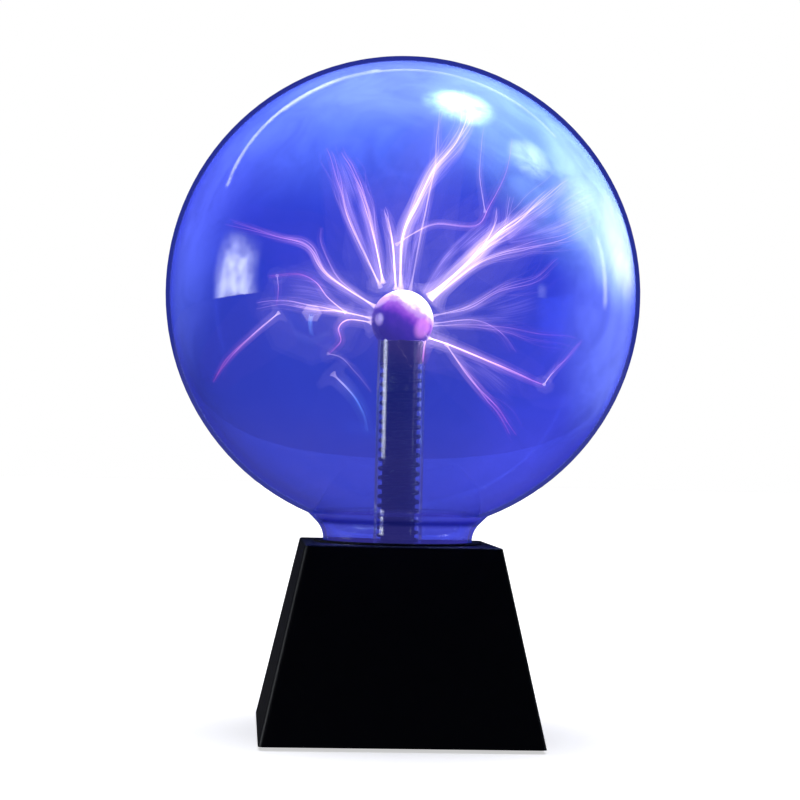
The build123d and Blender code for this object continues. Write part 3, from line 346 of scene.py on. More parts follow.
gas = {
    "gap": 2.0 * mm,                 # from the outside of the glass to the skin
    "creaseRadius": 35.3 * mm,       # the fold that joins ball and neck
    "slopeEnd": (32.9 * mm, 91.0 * mm),
    "neckRadius": 29.5 * mm,
    "neckTop": 82.3 * mm,
    "bottom": 64.0 * mm,
    "turns": 160,
    "steps": 90,
    "behind": (0.024, 0.040, 0.33, 1),       # painted shade: the skin's far side dims white light behind the ball to this
    "glow": (0.001, 0.002, 0.05, 1),
    "wisps": {"scale": 3.2, "detail": 3.0, "rough": 0.55, "twist": 1.2, "from": (0.30, 0.70),
              "to": (0.72, 1.25)},
    "shreds": {"scale": 7.0, "detail": 3.0, "twist": 0.7, "from": (0.34, 0.66), "to": (0.2, 1.4)},
    "shredFrom": 0.98,                       # spots tighter than this are torn into shreds
}
glowSpots = [
    # direction, from cosine, to cosine, colour added
    # the first two spots, at the top, are partly painted reflection: glow in place of an overhead lamp's
    # light-blue reflection
    ((-0.05, 0, 1), 0.35, 1.02, (0.10, 0.18, 0.50)),
    ((0.05, 0, 1), 0.76, 1, (0.12, 0.15, 0.02)),
    ((0.72, 0.05, 0.69), 0.66, 0.98, (0.22, 0.40, 0.46)),
    ((0.90, 0, 0.43), 0.84, 0.995, (0.40, 0.58, 0.40)),
    ((0.95, 0, 0.26), 0.955, 0.998, (0.50, 0.45, 0.30)),
    ((0.29, 0.34, 0.895), 0.9860, 1, (0.70, 1.10, 0.90)),
    ((0.22, 0.36, 0.905), 0.9880, 1, (0.35, 0.60, 0.50)),
    ((0.60, 0.42, 0.68), 0.9900, 1, (0.40, 0.55, 0.50)),
    ((0, 0, 1), -0.35, 0.55, (0, 0.002, 0.09)),
    ((1, 0, 0), 0.72, 1, (0.13, 0.18, 0.42)),
    ((1, 0, -0.35), 0.25, 0.90, (0.008, 0.008, 0.13)),
    ((-1, 0, 0.25), 0.72, 1, (0.045, 0.065, 0.26)),
    ((-0.7, 0, 0.7), 0.60, 1, (0.02, 0.02, 0.12)),
    ((0, 0, -1), 0.30, 0.90, (0.012, 0.007, 0)),
]


def makePiece(name, vertices, faces, material, smooth=True):
    mesh = bpy.data.meshes.new(name)
    mesh.from_pydata(vertices, [], faces)
    mesh.materials.append(material)
    if smooth:
        mesh.shade_smooth()
    piece = bpy.data.objects.new(name, mesh)
    scene.collection.objects.link(piece)
    return piece


def hold(piece):
    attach(piece, "root")


def turnProfile(profile, turns):
    vertices = [(0, 0, profile[0][1]), (0, 0, profile[-1][1])]
    for radius, height in profile[1:-1]:
        for k in range(turns):
            angle = 2 * math.pi * k / turns
            vertices.append((radius * math.cos(angle), radius * math.sin(angle), height))
    rings = len(profile) - 2
    faces = []
    for k in range(turns):
        after = (k + 1) % turns
        faces.append((0, 2 + k, 2 + after))
        for ring in range(rings - 1):
            upper, lower = 2 + ring * turns, 2 + (ring + 1) * turns
            faces.append((upper + k, lower + k, lower + after, upper + after))
        last = 2 + (rings - 1) * turns
        faces.append((last + k, 1, last + after))
    return vertices, faces


def ballProfile(radius, centre, end, steps):
    # down the side of a ball from its top, as (radius, height)
    return [(radius * math.sin(end * i / steps), centre.z + radius * math.cos(end * i / steps))
            for i in range(steps + 1)]


def gasProfile():
    radius = globeRadius - gas["gap"]
    end = math.pi - math.asin(gas["creaseRadius"] / radius)
    profile = ballProfile(radius, globeCentre, end, gas["steps"])
    profile += [gas["slopeEnd"], (gas["neckRadius"], gas["neckTop"]), (gas["neckRadius"], gas["bottom"]),
                (0, gas["bottom"])]
    return profile


def gasGlow():
    # thin gas lit blue all through, palest where the arcs beat against the glass; at the top partly painted
    # reflection of an overhead lamp, and on its far side painted shade that dims what lies behind
    material, tree = newMaterial("blue gas glow")
    ahead = outwardFrom(tree, globeCentre)
    wisps = cloudPattern(tree, ahead, gas["wisps"])
    shreds = cloudPattern(tree, ahead, gas["shreds"])
    total = gas["glow"]
    for towards, start, stop, colour in glowSpots:
        share = spotShare(tree, ahead, towards, start, stop)
        texture = shreds if start > gas["shredFrom"] else wisps
        share = addNode(tree, "Math", {0: share, 1: texture}, operation="MULTIPLY")
        total = addLight(tree, total, share, colour)
    # painted shade: seen from inside, the skin darkens what lies behind it, except in reflections
    inside = addNode(tree, "NewGeometry").outputs["Backfacing"]
    depth = addNode(tree, "LightPath").outputs["Glossy Depth"]
    paintedDarkShare = addNode(tree, "Math", {0: inside, 1: depth}, operation="SUBTRACT", use_clamp=True)
    tint = addNode(tree, "Mix", {"Factor": paintedDarkShare, "A": (1, 1, 1, 1), "B": gas["behind"]},
                   data_type="RGBA").outputs["Result"]
    showGlow(tree, total, 1.0, tint)
    return material


gasVertices, gasFaces = turnProfile(gasProfile(), gas["turns"])
hold(makePiece("gas_glow", gasVertices, gasFaces, gasGlow()))
print("gas glow made")


electrode = {
    "hotSide": (0.50, 0.0, 0.866),           # the arcs leave from the upper side
    "spots": [
        # direction, from cosine, to cosine, colour, strength
        ((0.62, -0.74, -0.26), 0.90, 1.0, (0.85, 0.30, 0.62), 0.55),
        ((-0.80, -0.60, 0.0), 0.965, 1.0, (0.60, 0.45, 0.80), 0.40),
        ((-0.66, -0.30, 0.69), 0.90, 1.0, (1.0, 0.75, 0.95), 0.55),
    ],
    "heat": [
        (0.0, (0.008, 0.002, 0.12, 1)), (0.22, (0.016, 0.004, 0.20, 1)), (0.38, (0.05, 0.012, 0.30, 1)),
        (0.50, (0.18, 0.03, 0.48, 1)), (0.62, (0.40, 0.11, 0.66, 1)), (0.72, (0.80, 0.48, 0.92, 1)),
        (0.82, (2.0, 1.8, 2.1, 1)),
    ],
    "heatFrom": -0.75,                       # cosine from the hot side where the ramp starts
    "heatTo": 0.95,
    "ripple": {"scale": 2.6, "detail": 2.0, "share": 0.50},      # how far the edge of the heat wavers
    "glass": (0.012, 0.006, 0.05, 1),
    "rough": 0.06,
    "shells": [(1.30, 0.010), (1.7, 0.014), (2.3, 0.012)],       # size over the bulb's, strength
    "shellRings": 24,
    "shellTurns": 40,
    "haze": (0.62, 0.36, 1.0, 1),
    "hazeSoftness": 2.0,
    "skirt": {"radius": 9.05 * mm, "wall": 0.25 * mm, "low": 157.0 * mm, "high": 166.2 * mm, "turns": 64},
}


def electrodeGlow(tree):
    ahead = outwardFrom(tree, bulbCentre)
    ripple = addNode(tree, "TexNoise", {
        "Vector": ahead, "Scale": electrode["ripple"]["scale"], "Detail": electrode["ripple"]["detail"]})
    ripple = addNode(tree, "Math", {0: ripple, 1: 0.5}, operation="SUBTRACT")
    along = likeness(tree, ahead, electrode["hotSide"])
    shaken = addNode(tree, "Math", {0: ripple, 1: electrode["ripple"]["share"], 2: along},
                     operation="MULTIPLY_ADD")
    level = addNode(tree, "MapRange", {
        "Value": shaken, "From Min": electrode["heatFrom"], "From Max": electrode["heatTo"]})
    total = addNode(tree, "ValToRGB", {"Fac": level})
    setRamp(total, electrode["heat"])
    for towards, start, stop, colour, power in electrode["spots"]:
        total = addLight(tree, total, spotShare(tree, ahead, towards, start, stop, power), colour)
    return addNode(tree, "Emission", {"Color": total, "Strength": 1.0})


def bulbGlass():
    # blown bulb over a dark conductive coat: glossy, deep violet below, white-hot where the arcs start
    material, tree = newMaterial("blown electrode bulb")
    shell = addNode(tree, "BsdfPrincipled", {
        "Base Color": electrode["glass"], "Roughness": electrode["rough"], "IOR": glass["index"]})
    showSurface(tree, addNode(tree, "AddShader", {0: shell, 1: electrodeGlow(tree)}))
    return material


def hazeGlow():
    # lit gas close round the bulb: no surface, brightest in the middle and gone at its edge
    material, tree = newMaterial("violet haze")
    edge = addNode(tree, "LayerWeight", {"Blend": 0.5}).outputs["Facing"]
    middle = addNode(tree, "Math", {0: 1.0, 1: edge}, operation="SUBTRACT", use_clamp=True)
    soft = addNode(tree, "Math", {0: middle, 1: electrode["hazeSoftness"]}, operation="POWER")
    level = addNode(tree, "Attribute", attribute_name="glow").outputs["Fac"]
    power = addNode(tree, "Math", {0: soft, 1: level}, operation="MULTIPLY")
    showGlow(tree, electrode["haze"], power)
    return material


def hazeShells():
    vertices, faces, levels = [], [], []
    for size, strength in electrode["shells"]:
        profile = ballProfile(bulbRadius * size, bulbCentre, math.pi, electrode["shellRings"])
        ball, ballFaces = turnProfile(profile, electrode["shellTurns"])
        faces += [tuple(i + len(vertices) for i in face) for face in ballFaces]
        vertices += ball
        levels += [strength] * len(ball)
    piece = makePiece("electrode_haze", vertices, faces, hazeGlow())
    piece.data.attributes.new("glow", "FLOAT", "POINT").data.foreach_set("value", levels)
    return piece


def coatSkirt():
    # the bulb's dark coat, run a little way down inside the stem
    look = electrode["skirt"]
    outer, inner = look["radius"], look["radius"] - look["wall"]
    section = [(outer, look["low"]), (outer, look["high"]), (inner, look["high"]), (inner, look["low"])]
    corners = len(section)
    vertices, faces = [], []
    for k in range(look["turns"]):
        angle = 2 * math.pi * k / look["turns"]
        vertices += [(r * math.cos(angle), r * math.sin(angle), z) for r, z in section]
        here, after = corners * k, corners * ((k + 1) % look["turns"])
        faces += [(here + i, after + i, after + (i + 1) % corners, here + (i + 1) % corners)
                  for i in range(corners)]
    return makePiece("coat_skirt", vertices, faces, nodes["electrode_lining"].data.materials[0], smooth=False)


dress("electrode_bulb", bulbGlass())
skirt = coatSkirt()
hold(skirt)
hold(hazeShells())
print("electrode done")


arcLook = {
    "steps": 30,
    "seed": 40,
    "reach": 95.5 * mm,              # where an arc beats on the glass
    "wallRoom": 3.0 * mm,            # from the outside of the glass to the nearest glow
    "bend": 1.15,                    # above 1, an arc turns near or far side late
    "whole": 2,                      # threads that run the whole length
    "latestStart": 0.25,             # the others start and end within the arc
    "earliestEnd": 0.6,
    "apart": (0.35, 1.0),            # share of the spread
    "level": (0.35, 0.8),
    "width": (0.45, 0.8),
    "core": 0.85,                    # the middle thread's level and width
    "coreApart": 0.25,
    "fan": 1.2,                      # above 1, threads part late
    "depthShare": 0.6,               # how far they part along the line of sight
    "swing": 0.35,                   # waver, in spreads
    "wavers": 5.0,                   # along the whole arc
    "waverGrowth": 0.6,
    "flickers": 9.0,
    "flicker": (0.8, 0.4),           # level, and how far it varies
    "flickerPlane": 7.0,
    "shakes": 100,
    "fade": 0.55,                    # below 1, an arc holds its level until near its end
    "rootLevel": 0.45,
    "rise": 6,
    "tipWidth": 0.30,
    "tipLevel": 0.25,
    "endWidth": 0.1,
    "flare": 5.5,                    # how much wider a thread is where it leaves the bulb
    "flareEnd": 0.09,                # share of the length
    "fine": 1.6,                     # fine threads for each main one
    "fineThick": 0.48,
    "fineBright": 0.42,
    "fineSpread": 2.3,
    "fineSwing": 0.9,
    "warmFrom": -0.25,               # pinkness where the ramp starts
    # the ramp's blue-white first stop is reached only by the painted glints, whose pinkness is below zero
    "ramp": [(0.0, (0.20, 0.42, 1.0, 1)), (0.20, (1.0, 0.74, 0.86, 1)), (0.44, (0.86, 0.46, 0.74, 1)),
             (0.68, (0.85, 0.22, 0.58, 1)), (1.0, (0.95, 0.06, 0.34, 1))],
}
arcParts = ("path", "far", "threads", "spread", "thick", "bright", "pink")
arcRows = [
    # path in mm across and up, depth at its end (1 far side, -1 near side), threads, spread at the end in mm,
    # thread radius in mm, brightness, pinkness at the end
    ([(-8.5, 191), (-14.4, 217.8), (-20, 234.3), (-26.7, 246.2)], 0.75, 5, 3, 0.42, 0.9, 0.55),
    ([(-9.5, 189), (-23.8, 217.8), (-29.3, 235.6), (-33.5, 247.9)], 0.7, 5, 3, 0.36, 0.7, 0.55),
    ([(-3, 188.3), (-5.1, 209.7), (-8.5, 222)], 0.1, 4, 1.8, 0.5, 1.1, 0.2),
    ([(-1, 188), (-0.8, 209.7), (4.7, 224.6), (11.5, 239.4), (20.8, 251.7), (25.5, 262), (23, 274.7)],
     0.5, 7, 3.4, 0.48, 1.1, 0.12),
    ([(3, 187.5), (8.5, 219), (12.5, 243), (13.5, 258), (16, 268)], 0.55, 4, 4, 0.3, 0.6, 0.25),
    ([(11.5, 184.5), (27.6, 200.4), (36.9, 209.7), (48, 217.8), (58.6, 226.3), (70, 236.3)],
     0.45, 8, 4.5, 0.52, 1.25, 0.15),
    ([(10.5, 186), (30, 203), (37.8, 216.5), (38.6, 224)], 0.3, 3, 2, 0.36, 0.9, 0.15),
    ([(11.5, 185), (33, 206), (42, 215), (45, 229)], 0.4, 3, 2.4, 0.34, 0.8, 0.2),
    ([(12, 184), (32, 200.5), (51.8, 207.2), (68.4, 211), (83.5, 219.8)], 0.35, 5, 3.6, 0.36, 0.75, 0.35),
    ([(-3.4, 207.2), (4.7, 212.7), (14, 216.4), (30.1, 216), (35.7, 224.6), (42.5, 239.4), (45, 254)],
     0.55, 3, 1.6, 0.28, 0.62, 0.75),
    ([(34, 222), (31.4, 239.4), (33.1, 258.5)], 0.5, 2, 1.4, 0.26, 0.5, 0.4),
    ([(12.7, 177.4), (27.6, 181.3), (41.2, 189.3), (54.8, 193.6), (65.4, 202.9)],
     -0.5, 5, 3.6, 0.3, 0.45, 0.5),
    ([(10.8, 168.2), (20.8, 165.1), (38.2, 158.3), (51.8, 152.8), (60.7, 149.4)],
     -0.55, 4, 1.2, 0.44, 1.1, 0.6),
    ([(60.7, 149.4), (64, 154.5), (68.4, 159.6), (76.4, 169.4)], -0.6, 3, 1.8, 0.26, 0.5, 0.7),
    ([(18.8, 165.6), (25.1, 157.1), (34.4, 146), (42.5, 137.9), (49.4, 127.6)],
     -0.5, 4, 2.6, 0.32, 0.6, 0.85),
    ([(12.7, 173.2), (34.4, 174), (54.8, 171), (74.2, 169)], 0.5, 5, 4, 0.26, 0.36, 0.8),
    ([(12.7, 174.2), (30.4, 176), (40.8, 171.5), (48.2, 163)], -0.4, 3, 2, 0.26, 0.42, 0.5),
    ([(-11.7, 180.8), (-31.8, 193.6), (-40.3, 205.9), (-53.5, 209.7), (-73.3, 214.9)],
     -0.5, 6, 2.6, 0.34, 0.62, 0.6),
    ([(-11.7, 181), (-27, 192), (-34.8, 206.5), (-35.2, 214)], -0.2, 2, 1.8, 0.28, 0.5, 0.5),
    ([(-13.2, 175.8), (-26.7, 178.7), (-37.4, 180), (-49.7, 182.1), (-62.3, 180.4)],
     0.45, 7, 2.6, 0.36, 0.7, 0.3),
    ([(-24, 178), (-31.8, 184.2), (-37.4, 191), (-45.4, 194), (-57.6, 192.5)],
     0.3, 2, 0.8, 0.3, 0.62, 0.95),
    ([(-53.5, 193), (-52.8, 187), (-53.5, 180.3)], 0.35, 1, 0.5, 0.24, 0.45, 0.9),
    ([(-13, 174), (-22.5, 175), (-26.9, 171.4), (-25.9, 165.4), (-31.2, 160.4)],
     -0.3, 3, 0.9, 0.38, 0.8, 0.8),
    ([(-31.2, 160.4), (-25, 158.5), (-18.7, 152.3), (-12, 144.5)], -0.3, 2, 1.2, 0.24, 0.3, 0.3),
    ([(-52.2, 177.4), (-63.3, 167.7), (-73.9, 157.1), (-80.2, 146.9)], 0.3, 3, 1.8, 0.30, 0.6, 1),
    ([(10.4, 170), (9.6, 164.5), (9.2, 157.6)], -0.1, 2, 0.5, 0.55, 1, 0.7),
    # the last two rows, blue-white blobs of light in the glass, are painted glints drawn as short glowing arcs
    ([(-29, 152), (-20, 143), (-15.5, 135), (-13.6, 127.5)], -0.2, 3, 1.2, 0.5, 0.34, -0.6),
    ([(-38.4, 177.5), (-38.9, 173), (-38, 168)], -0.3, 2, 0.8, 1.3, 0.30, -0.9),
]
arcs = [dict(zip(arcParts, row)) for row in arcRows]


def slide(x, z, depth):
    # a point across and up from the axis, slid along its line of sight
    across = Vector((math.cos(cameraPlace["turn"]), math.sin(cameraPlace["turn"]), 0))
    flat = across * x + Vector((0, 0, z))
    return flat + (flat - cameraSpot).normalized() * depth


def depthAtGlass(x, z):
    start = slide(x, z, 0) - globeCentre
    ahead = start.dot((slide(x, z, 0) - cameraSpot).normalized())
    room = start.length_squared - arcLook["reach"] ** 2
    return math.sqrt(max(ahead * ahead - room, 0.0))


def curvePoint(points, t):
    # a smooth curve through all the points; t stops just short, so that there is always a next point
    place = min(t, 0.9999) * (len(points) - 1)
    i = int(place)
    f = place - i
    p0, p1 = points[max(i - 1, 0)], points[i]
    p2, p3 = points[i + 1], points[min(i + 2, len(points) - 1)]
    return 0.5 * ((2 * p1) + (p2 - p0) * f + (2 * p0 - 5 * p1 + 4 * p2 - p3) * f * f
                  + (3 * p1 - p0 - 3 * p2 + p3) * f ** 3)


def spine(route, far):
    endX, endZ = route[-1]
    deepest = depthAtGlass(endX * mm, endZ * mm) * far
    last = len(route) - 1
    return [slide(x * mm, z * mm, deepest * (i / last) ** arcLook["bend"]) for i, (x, z) in enumerate(route)]


def threadPoints(arc, middle, thread):
    # (point, radius, widening at the root, brightness, pinkness) along one thread
    look = arcLook
    made = []
    for i in range(look["steps"] + 1):
        share = i / look["steps"]
        t = thread["start"] + (thread["stop"] - thread["start"]) * share
        waver = noise.noise_vector(Vector((t * look["wavers"], thread["shake"], 0)))
        waver = waver * arc["spread"] * thread["swing"] * mm * t ** look["waverGrowth"]
        sideways = Vector((math.cos(thread["around"]), look["depthShare"], math.sin(thread["around"])))
        sideways = sideways * thread["apart"] * t ** look["fan"]
        fade = (1 - share) ** look["fade"] * min(1.0, look["rootLevel"] + share * look["rise"])
        flicker = noise.noise(Vector((t * look["flickers"], thread["shake"], look["flickerPlane"])))
        flicker = look["flicker"][0] + look["flicker"][1] * flicker
        root = look["flare"] * max(0.0, 1 - t / look["flareEnd"]) ** 2
        width = look["tipWidth"] + (1 - look["tipWidth"]) * fade if i < look["steps"] else look["endWidth"]
        level = thread["level"] * (look["tipLevel"] + (1 - look["tipLevel"]) * fade) * flicker
        made.append((curvePoint(middle, t) + sideways + waver, thread["thick"] * width, root, level,
                     arc["pink"] * t))
    return made


def threadsOf(arc, seed):
    draw = random.Random(seed)
    middle = spine(arc["path"], arc["far"])
    made = []
    for k in range(arc["threads"] + round(arc["threads"] * arcLook["fine"])):
        core = k == 0
        thread = {"start": 0.0, "stop": 1.0, "swing": arcLook["swing"]}
        thread["around"] = draw.uniform(0, 2 * math.pi)
        thread["apart"] = draw.uniform(*arcLook["apart"]) * arc["spread"] * mm
        if k >= arcLook["whole"]:
            thread["start"] = draw.uniform(0, arcLook["latestStart"])
            thread["stop"] = draw.uniform(arcLook["earliestEnd"], 1.0)
        thread["shake"] = draw.uniform(0, arcLook["shakes"])
        thread["level"] = arc["bright"] * (arcLook["core"] if core else draw.uniform(*arcLook["level"]))
        thread["thick"] = arc["thick"] * mm * (arcLook["core"] if core else draw.uniform(*arcLook["width"]))
        if core:
            thread["apart"] *= arcLook["coreApart"]
        if k >= arc["threads"]:
            thread["apart"] *= arcLook["fineSpread"]
            thread["level"] *= arcLook["fineBright"]
            thread["thick"] *= arcLook["fineThick"]
            thread["swing"] = arcLook["fineSwing"]
        made.append(threadPoints(arc, middle, thread))
    return made


def threadMesh(name, threads, flare):
    vertices, edges, radii, heats, tones = [], [], [], [], []
    for thread in threads:
        first = len(vertices)
        for point, radius, root, heat, tone in thread:
            vertices.append(point)
            radii.append(radius * (1 + root * flare))
            heats.append(heat)
            tones.append(tone)
        edges += [(i, i + 1) for i in range(first, len(vertices) - 1)]
    mesh = bpy.data.meshes.new(name)
    mesh.from_pydata(vertices, edges, [])
    for title, values in (("radius", radii), ("glow", heats), ("tone", tones)):
        mesh.attributes.new(title, "FLOAT", "POINT").data.foreach_set("value", values)
    return mesh


def tubeTree():
    # a closed tube along every thread, as thick as its "radius" attribute says
    tree = bpy.data.node_groups.new("glowing threads", "GeometryNodeTree")
    tree.is_modifier = True
    for title, kind in (("Geometry", "NodeSocketGeometry"), ("Thickness", "NodeSocketFloat"),
                        ("Sides", "NodeSocketInt"), ("Finish", "NodeSocketMaterial")):
        tree.interface.new_socket(title, in_out="INPUT", socket_type=kind)
    tree.interface.new_socket("Geometry", in_out="OUTPUT", socket_type="NodeSocketGeometry")
    given = addNode(tree, "NodeGroupInput").outputs
    radius = addNode(tree, "GeometryNodeInputNamedAttribute", {"Name": "radius"}, data_type="FLOAT")
    scaled = addNode(tree, "Math", {0: radius, 1: given["Thickness"]}, operation="MULTIPLY")
    line = addNode(tree, "GeometryNodeMeshToCurve", {"Mesh": given["Geometry"]})
    section = addNode(tree, "GeometryNodeCurvePrimitiveCircle", {"Resolution": given["Sides"], "Radius": 1.0})
    tube = addNode(tree, "GeometryNodeCurveToMesh", {
        "Curve": line, "Profile Curve": section, "Scale": scaled, "Fill Caps": True})
    smooth = addNode(tree, "GeometryNodeSetShadeSmooth", {"Geometry": tube})
    whole = addNode(tree, "GeometryNodeRealizeInstances", {"Geometry": smooth})
    dressed = addNode(tree, "GeometryNodeSetMaterial", {"Geometry": whole, "Material": given["Finish"]})
    addNode(tree, "NodeGroupOutput", {"Geometry": dressed})
    return tree


def runTree(tree, mesh, name, values):
    holder = bpy.data.objects.new(name + "_source", mesh)
    scene.collection.objects.link(holder)
    modifier = holder.modifiers.new("made", "NODES")
    modifier.node_group = tree
    for item in tree.interface.items_tree:
        if item.item_type == "SOCKET" and item.in_out == "INPUT" and item.name in values:
            modifier[item.identifier] = values[item.name]
    graph = bpy.context.evaluated_depsgraph_get()
    made = bpy.data.meshes.new_from_object(holder.evaluated_get(graph), preserve_all_data_layers=True,
                                           depsgraph=graph)
    bpy.data.objects.remove(holder)
    piece = bpy.data.objects.new(name, made)
    scene.collection.objects.link(piece)
    return piece


def discharge(name, strength):
    # glowing gas thread: no surface to see, near white where it is hot, violet then magenta as it cools
    material, tree = newMaterial(name)
    heat = addNode(tree, "Attribute", attribute_name="glow").outputs["Fac"]
    tone = addNode(tree, "Attribute", attribute_name="tone").outputs["Fac"]
    warmth = addNode(tree, "MapRange", {"Value": tone, "From Min": arcLook["warmFrom"]})
    colour = addNode(tree, "ValToRGB", {"Fac": warmth})
    setRamp(colour, arcLook["ramp"])
    power = addNode(tree, "Math", {0: heat, 1: strength}, operation="MULTIPLY")
    showGlow(tree, colour, power)
    return material


def keepInside(mesh):
    # no glow reaches into the glass: what would is pressed flat against the inside of it
    limit = globeRadius - arcLook["wallRoom"]
    for vertex in mesh.vertices:
        out = vertex.co - globeCentre
        if out.length > limit:
            vertex.co = globeCentre + out * (limit / out.length)


allThreads = [thread for i, arc in enumerate(arcs) for thread in threadsOf(arc, arcLook["seed"] + i)]
tubes = tubeTree()
layers = [
    # piece, thickness, strength, sides, every how many threads, share of the widening at the root
    ("arc_threads", 1.0, 0.50, 6, 1, 1.0),
    ("arc_halos", 10.24, 0.048, 8, 1, 0.45),
    ("arc_wide_halos", 64.0, 0.009, 12, 3, 0.0),
]
for name, thickness, strength, sides, every, flare in layers:
    piece = runTree(tubes, threadMesh(name, allThreads[::every], flare), name, {
        "Thickness": thickness, "Sides": sides, "Finish": discharge(name.replace("_", " "), strength)})
    keepInside(piece.data)
    hold(piece)
    print(name, len(piece.data.polygons), "faces")


# veils: thin sheets of glow between two arcs, with fine fibres along them
veilLook = {
    "rows": 44,
    "columns": 20,
    "thick": 0.12 * mm,
    "bulge": 3.0 * mm,
    "ripples": (5, 2),                       # across and along a veil
    "colour": (0.72, 0.50, 0.92, 1),
    "stretch": (1.6, 34.0, 1),               # fibres are long and thin
    "fibres": {"scale": 1.0, "detail": 3.0, "twist": 0.6, "from": (0.35, 0.75), "to": (0.0, 1.0),
               "ease": "SMOOTHSTEP"},
    "fibreShare": 0.75,
    "cloud": {"scale": 3.0, "detail": 1.0, "from": (0.30, 0.70), "to": (0.0, 1.0)},
    # side of the sheet, where it is gone, where it is full
    "fades": [("Y", 0.0, 0.18), ("Y", 1.0, 0.82), ("X", 1.0, 0.55), ("X", 0.0, 0.06)],
}
veils = [
    # the two edges in mm across and up, depth, brightness
    {"edges": ([(7.2, 187), (14, 201.6), (27.6, 215.2), (38, 224)],
               [(11.5, 184.5), (27.6, 200.4), (36.9, 209.7), (48, 217.8)]), "far": 0.40, "bright": 0.38},
    {"edges": ([(-8.5, 190), (-14.4, 217.8), (-20, 234.3), (-26.7, 246.2)],
               [(-9.8, 188), (-23.8, 217.8), (-29.3, 235.6), (-33.5, 247.9)]), "far": 0.70, "bright": 0.27},
    {"edges": ([(3, 188), (6, 205), (9, 219), (10, 230)],
               [(-1.5, 188), (-0.8, 209.7), (4.7, 224.6), (9, 238)]), "far": 0.30, "bright": 0.30},
    {"edges": ([(2, 228), (12, 241), (19, 253), (23.5, 262), (21, 275)],
               [(7, 226), (20, 240), (27, 252), (29, 263), (25, 275)]), "far": 0.55, "bright": 0.24},
    {"edges": ([(42, 214), (56, 225), (70, 238), (82, 244)],
               [(44, 208), (62, 211), (78, 216), (92, 222)]), "far": 0.42, "bright": 0.30},
    {"edges": ([(-12, 183), (-24, 190), (-38, 197), (-54, 200)],
               [(-13, 173), (-26, 176), (-40, 178), (-56, 177)]), "far": 0.10, "bright": 0.16},
    {"edges": ([(12, 178), (28, 183), (44, 191), (60, 199)],
               [(12.7, 173), (34, 174.5), (50, 174), (66, 178)]), "far": -0.10, "bright": 0.12},
    {"edges": ([(10.8, 169), (24, 166), (40, 160), (56, 153)],
               [(10.4, 166), (24, 158), (36, 147), (47, 133)]), "far": -0.50, "bright": 0.14},
]


def veilSide(left, right, side, seed):
    points = []
    for i in range(veilLook["rows"] + 1):
        for j in range(veilLook["columns"] + 1):
            along, across = i / veilLook["rows"], j / veilLook["columns"]
            point = curvePoint(left, along).lerp(curvePoint(right, along), across)
            away = (point - cameraSpot).normalized()
            acrossRipples, alongRipples = veilLook["ripples"]
            wave = noise.noise(Vector((across * acrossRipples, along * alongRipples, seed)))
            bulge = (math.sin(math.pi * across) + wave) * along * veilLook["bulge"]
            points.append(point + away * (bulge + side * veilLook["thick"] / 2))
    return points


def veilFaces(first):
    # the near side, the far side turned round, and a strip that closes the rim
    rows, columns = veilLook["rows"], veilLook["columns"]
    wide = columns + 1
    sheet = (rows + 1) * wide
    faces = []
    for i in range(rows):
        for j in range(columns):
            corner = first + i * wide + j
            quad = (corner, corner + 1, corner + wide + 1, corner + wide)
            faces.append(quad)
            faces.append(tuple(k + sheet for k in reversed(quad)))
    rim = [first + j for j in range(columns)]
    rim += [first + i * wide + columns for i in range(rows)]
    rim += [first + rows * wide + j for j in range(columns, 0, -1)]
    rim += [first + i * wide for i in range(rows, 0, -1)]
    return faces + [(here + sheet, after + sheet, after, here) for here, after in zip(rim, rim[1:] + rim[:1])]


def veilPiece():
    rows, columns = veilLook["rows"], veilLook["columns"]
    vertices, faces, uvs, levels = [], [], [], []
    for veil in veils:
        first = len(vertices)
        left, right = (spine(edge, veil["far"]) for edge in veil["edges"])
        for side in (-1, 1):
            vertices += veilSide(left, right, side, first)
            uvs += [(i / rows, j / columns) for i in range(rows + 1) for j in range(columns + 1)]
        levels += [veil["bright"]] * (len(vertices) - first)
        faces += veilFaces(first)
    piece = makePiece("arc_veils", vertices, faces, veilGlow(), smooth=False)
    layer = piece.data.uv_layers.new(name="sheet")
    for corner in piece.data.loops:
        layer.data[corner.index].uv = uvs[corner.vertex_index]
    piece.data.attributes.new("glow", "FLOAT", "POINT").data.foreach_set("value", levels)
    return piece


def veilGlow():
    # glowing sheet: no surface, only lilac fibres that fade out at its edges and its end
    material, tree = newMaterial("lilac veil")
    place = addNode(tree, "UVMap", uv_map="sheet")
    split = addNode(tree, "SeparateXYZ", {0: place}).outputs
    stretched = addNode(tree, "Mapping", {"Vector": place, "Scale": veilLook["stretch"]})
    fibres = cloudPattern(tree, stretched, veilLook["fibres"])
    cloud = cloudPattern(tree, place, veilLook["cloud"])
    level = addNode(tree, "Math", {0: fibres, 1: veilLook["fibreShare"], 2: 1 - veilLook["fibreShare"]},
                    operation="MULTIPLY_ADD")
    level = addNode(tree, "Math", {0: level, 1: cloud}, operation="MULTIPLY")
    for side, gone, full in veilLook["fades"]:
        fade = addNode(tree, "MapRange", {"Value": split[side], "From Min": gone, "From Max": full},
                       interpolation_type="SMOOTHSTEP")
        level = addNode(tree, "Math", {0: level, 1: fade}, operation="MULTIPLY")
    bright = addNode(tree, "Attribute", attribute_name="glow").outputs["Fac"]
    power = addNode(tree, "Math", {0: level, 1: bright}, operation="MULTIPLY")
    showGlow(tree, veilLook["colour"], power)
    return material


veil = veilPiece()
hold(veil)
print("veils", len(veil.data.polygons), "faces")


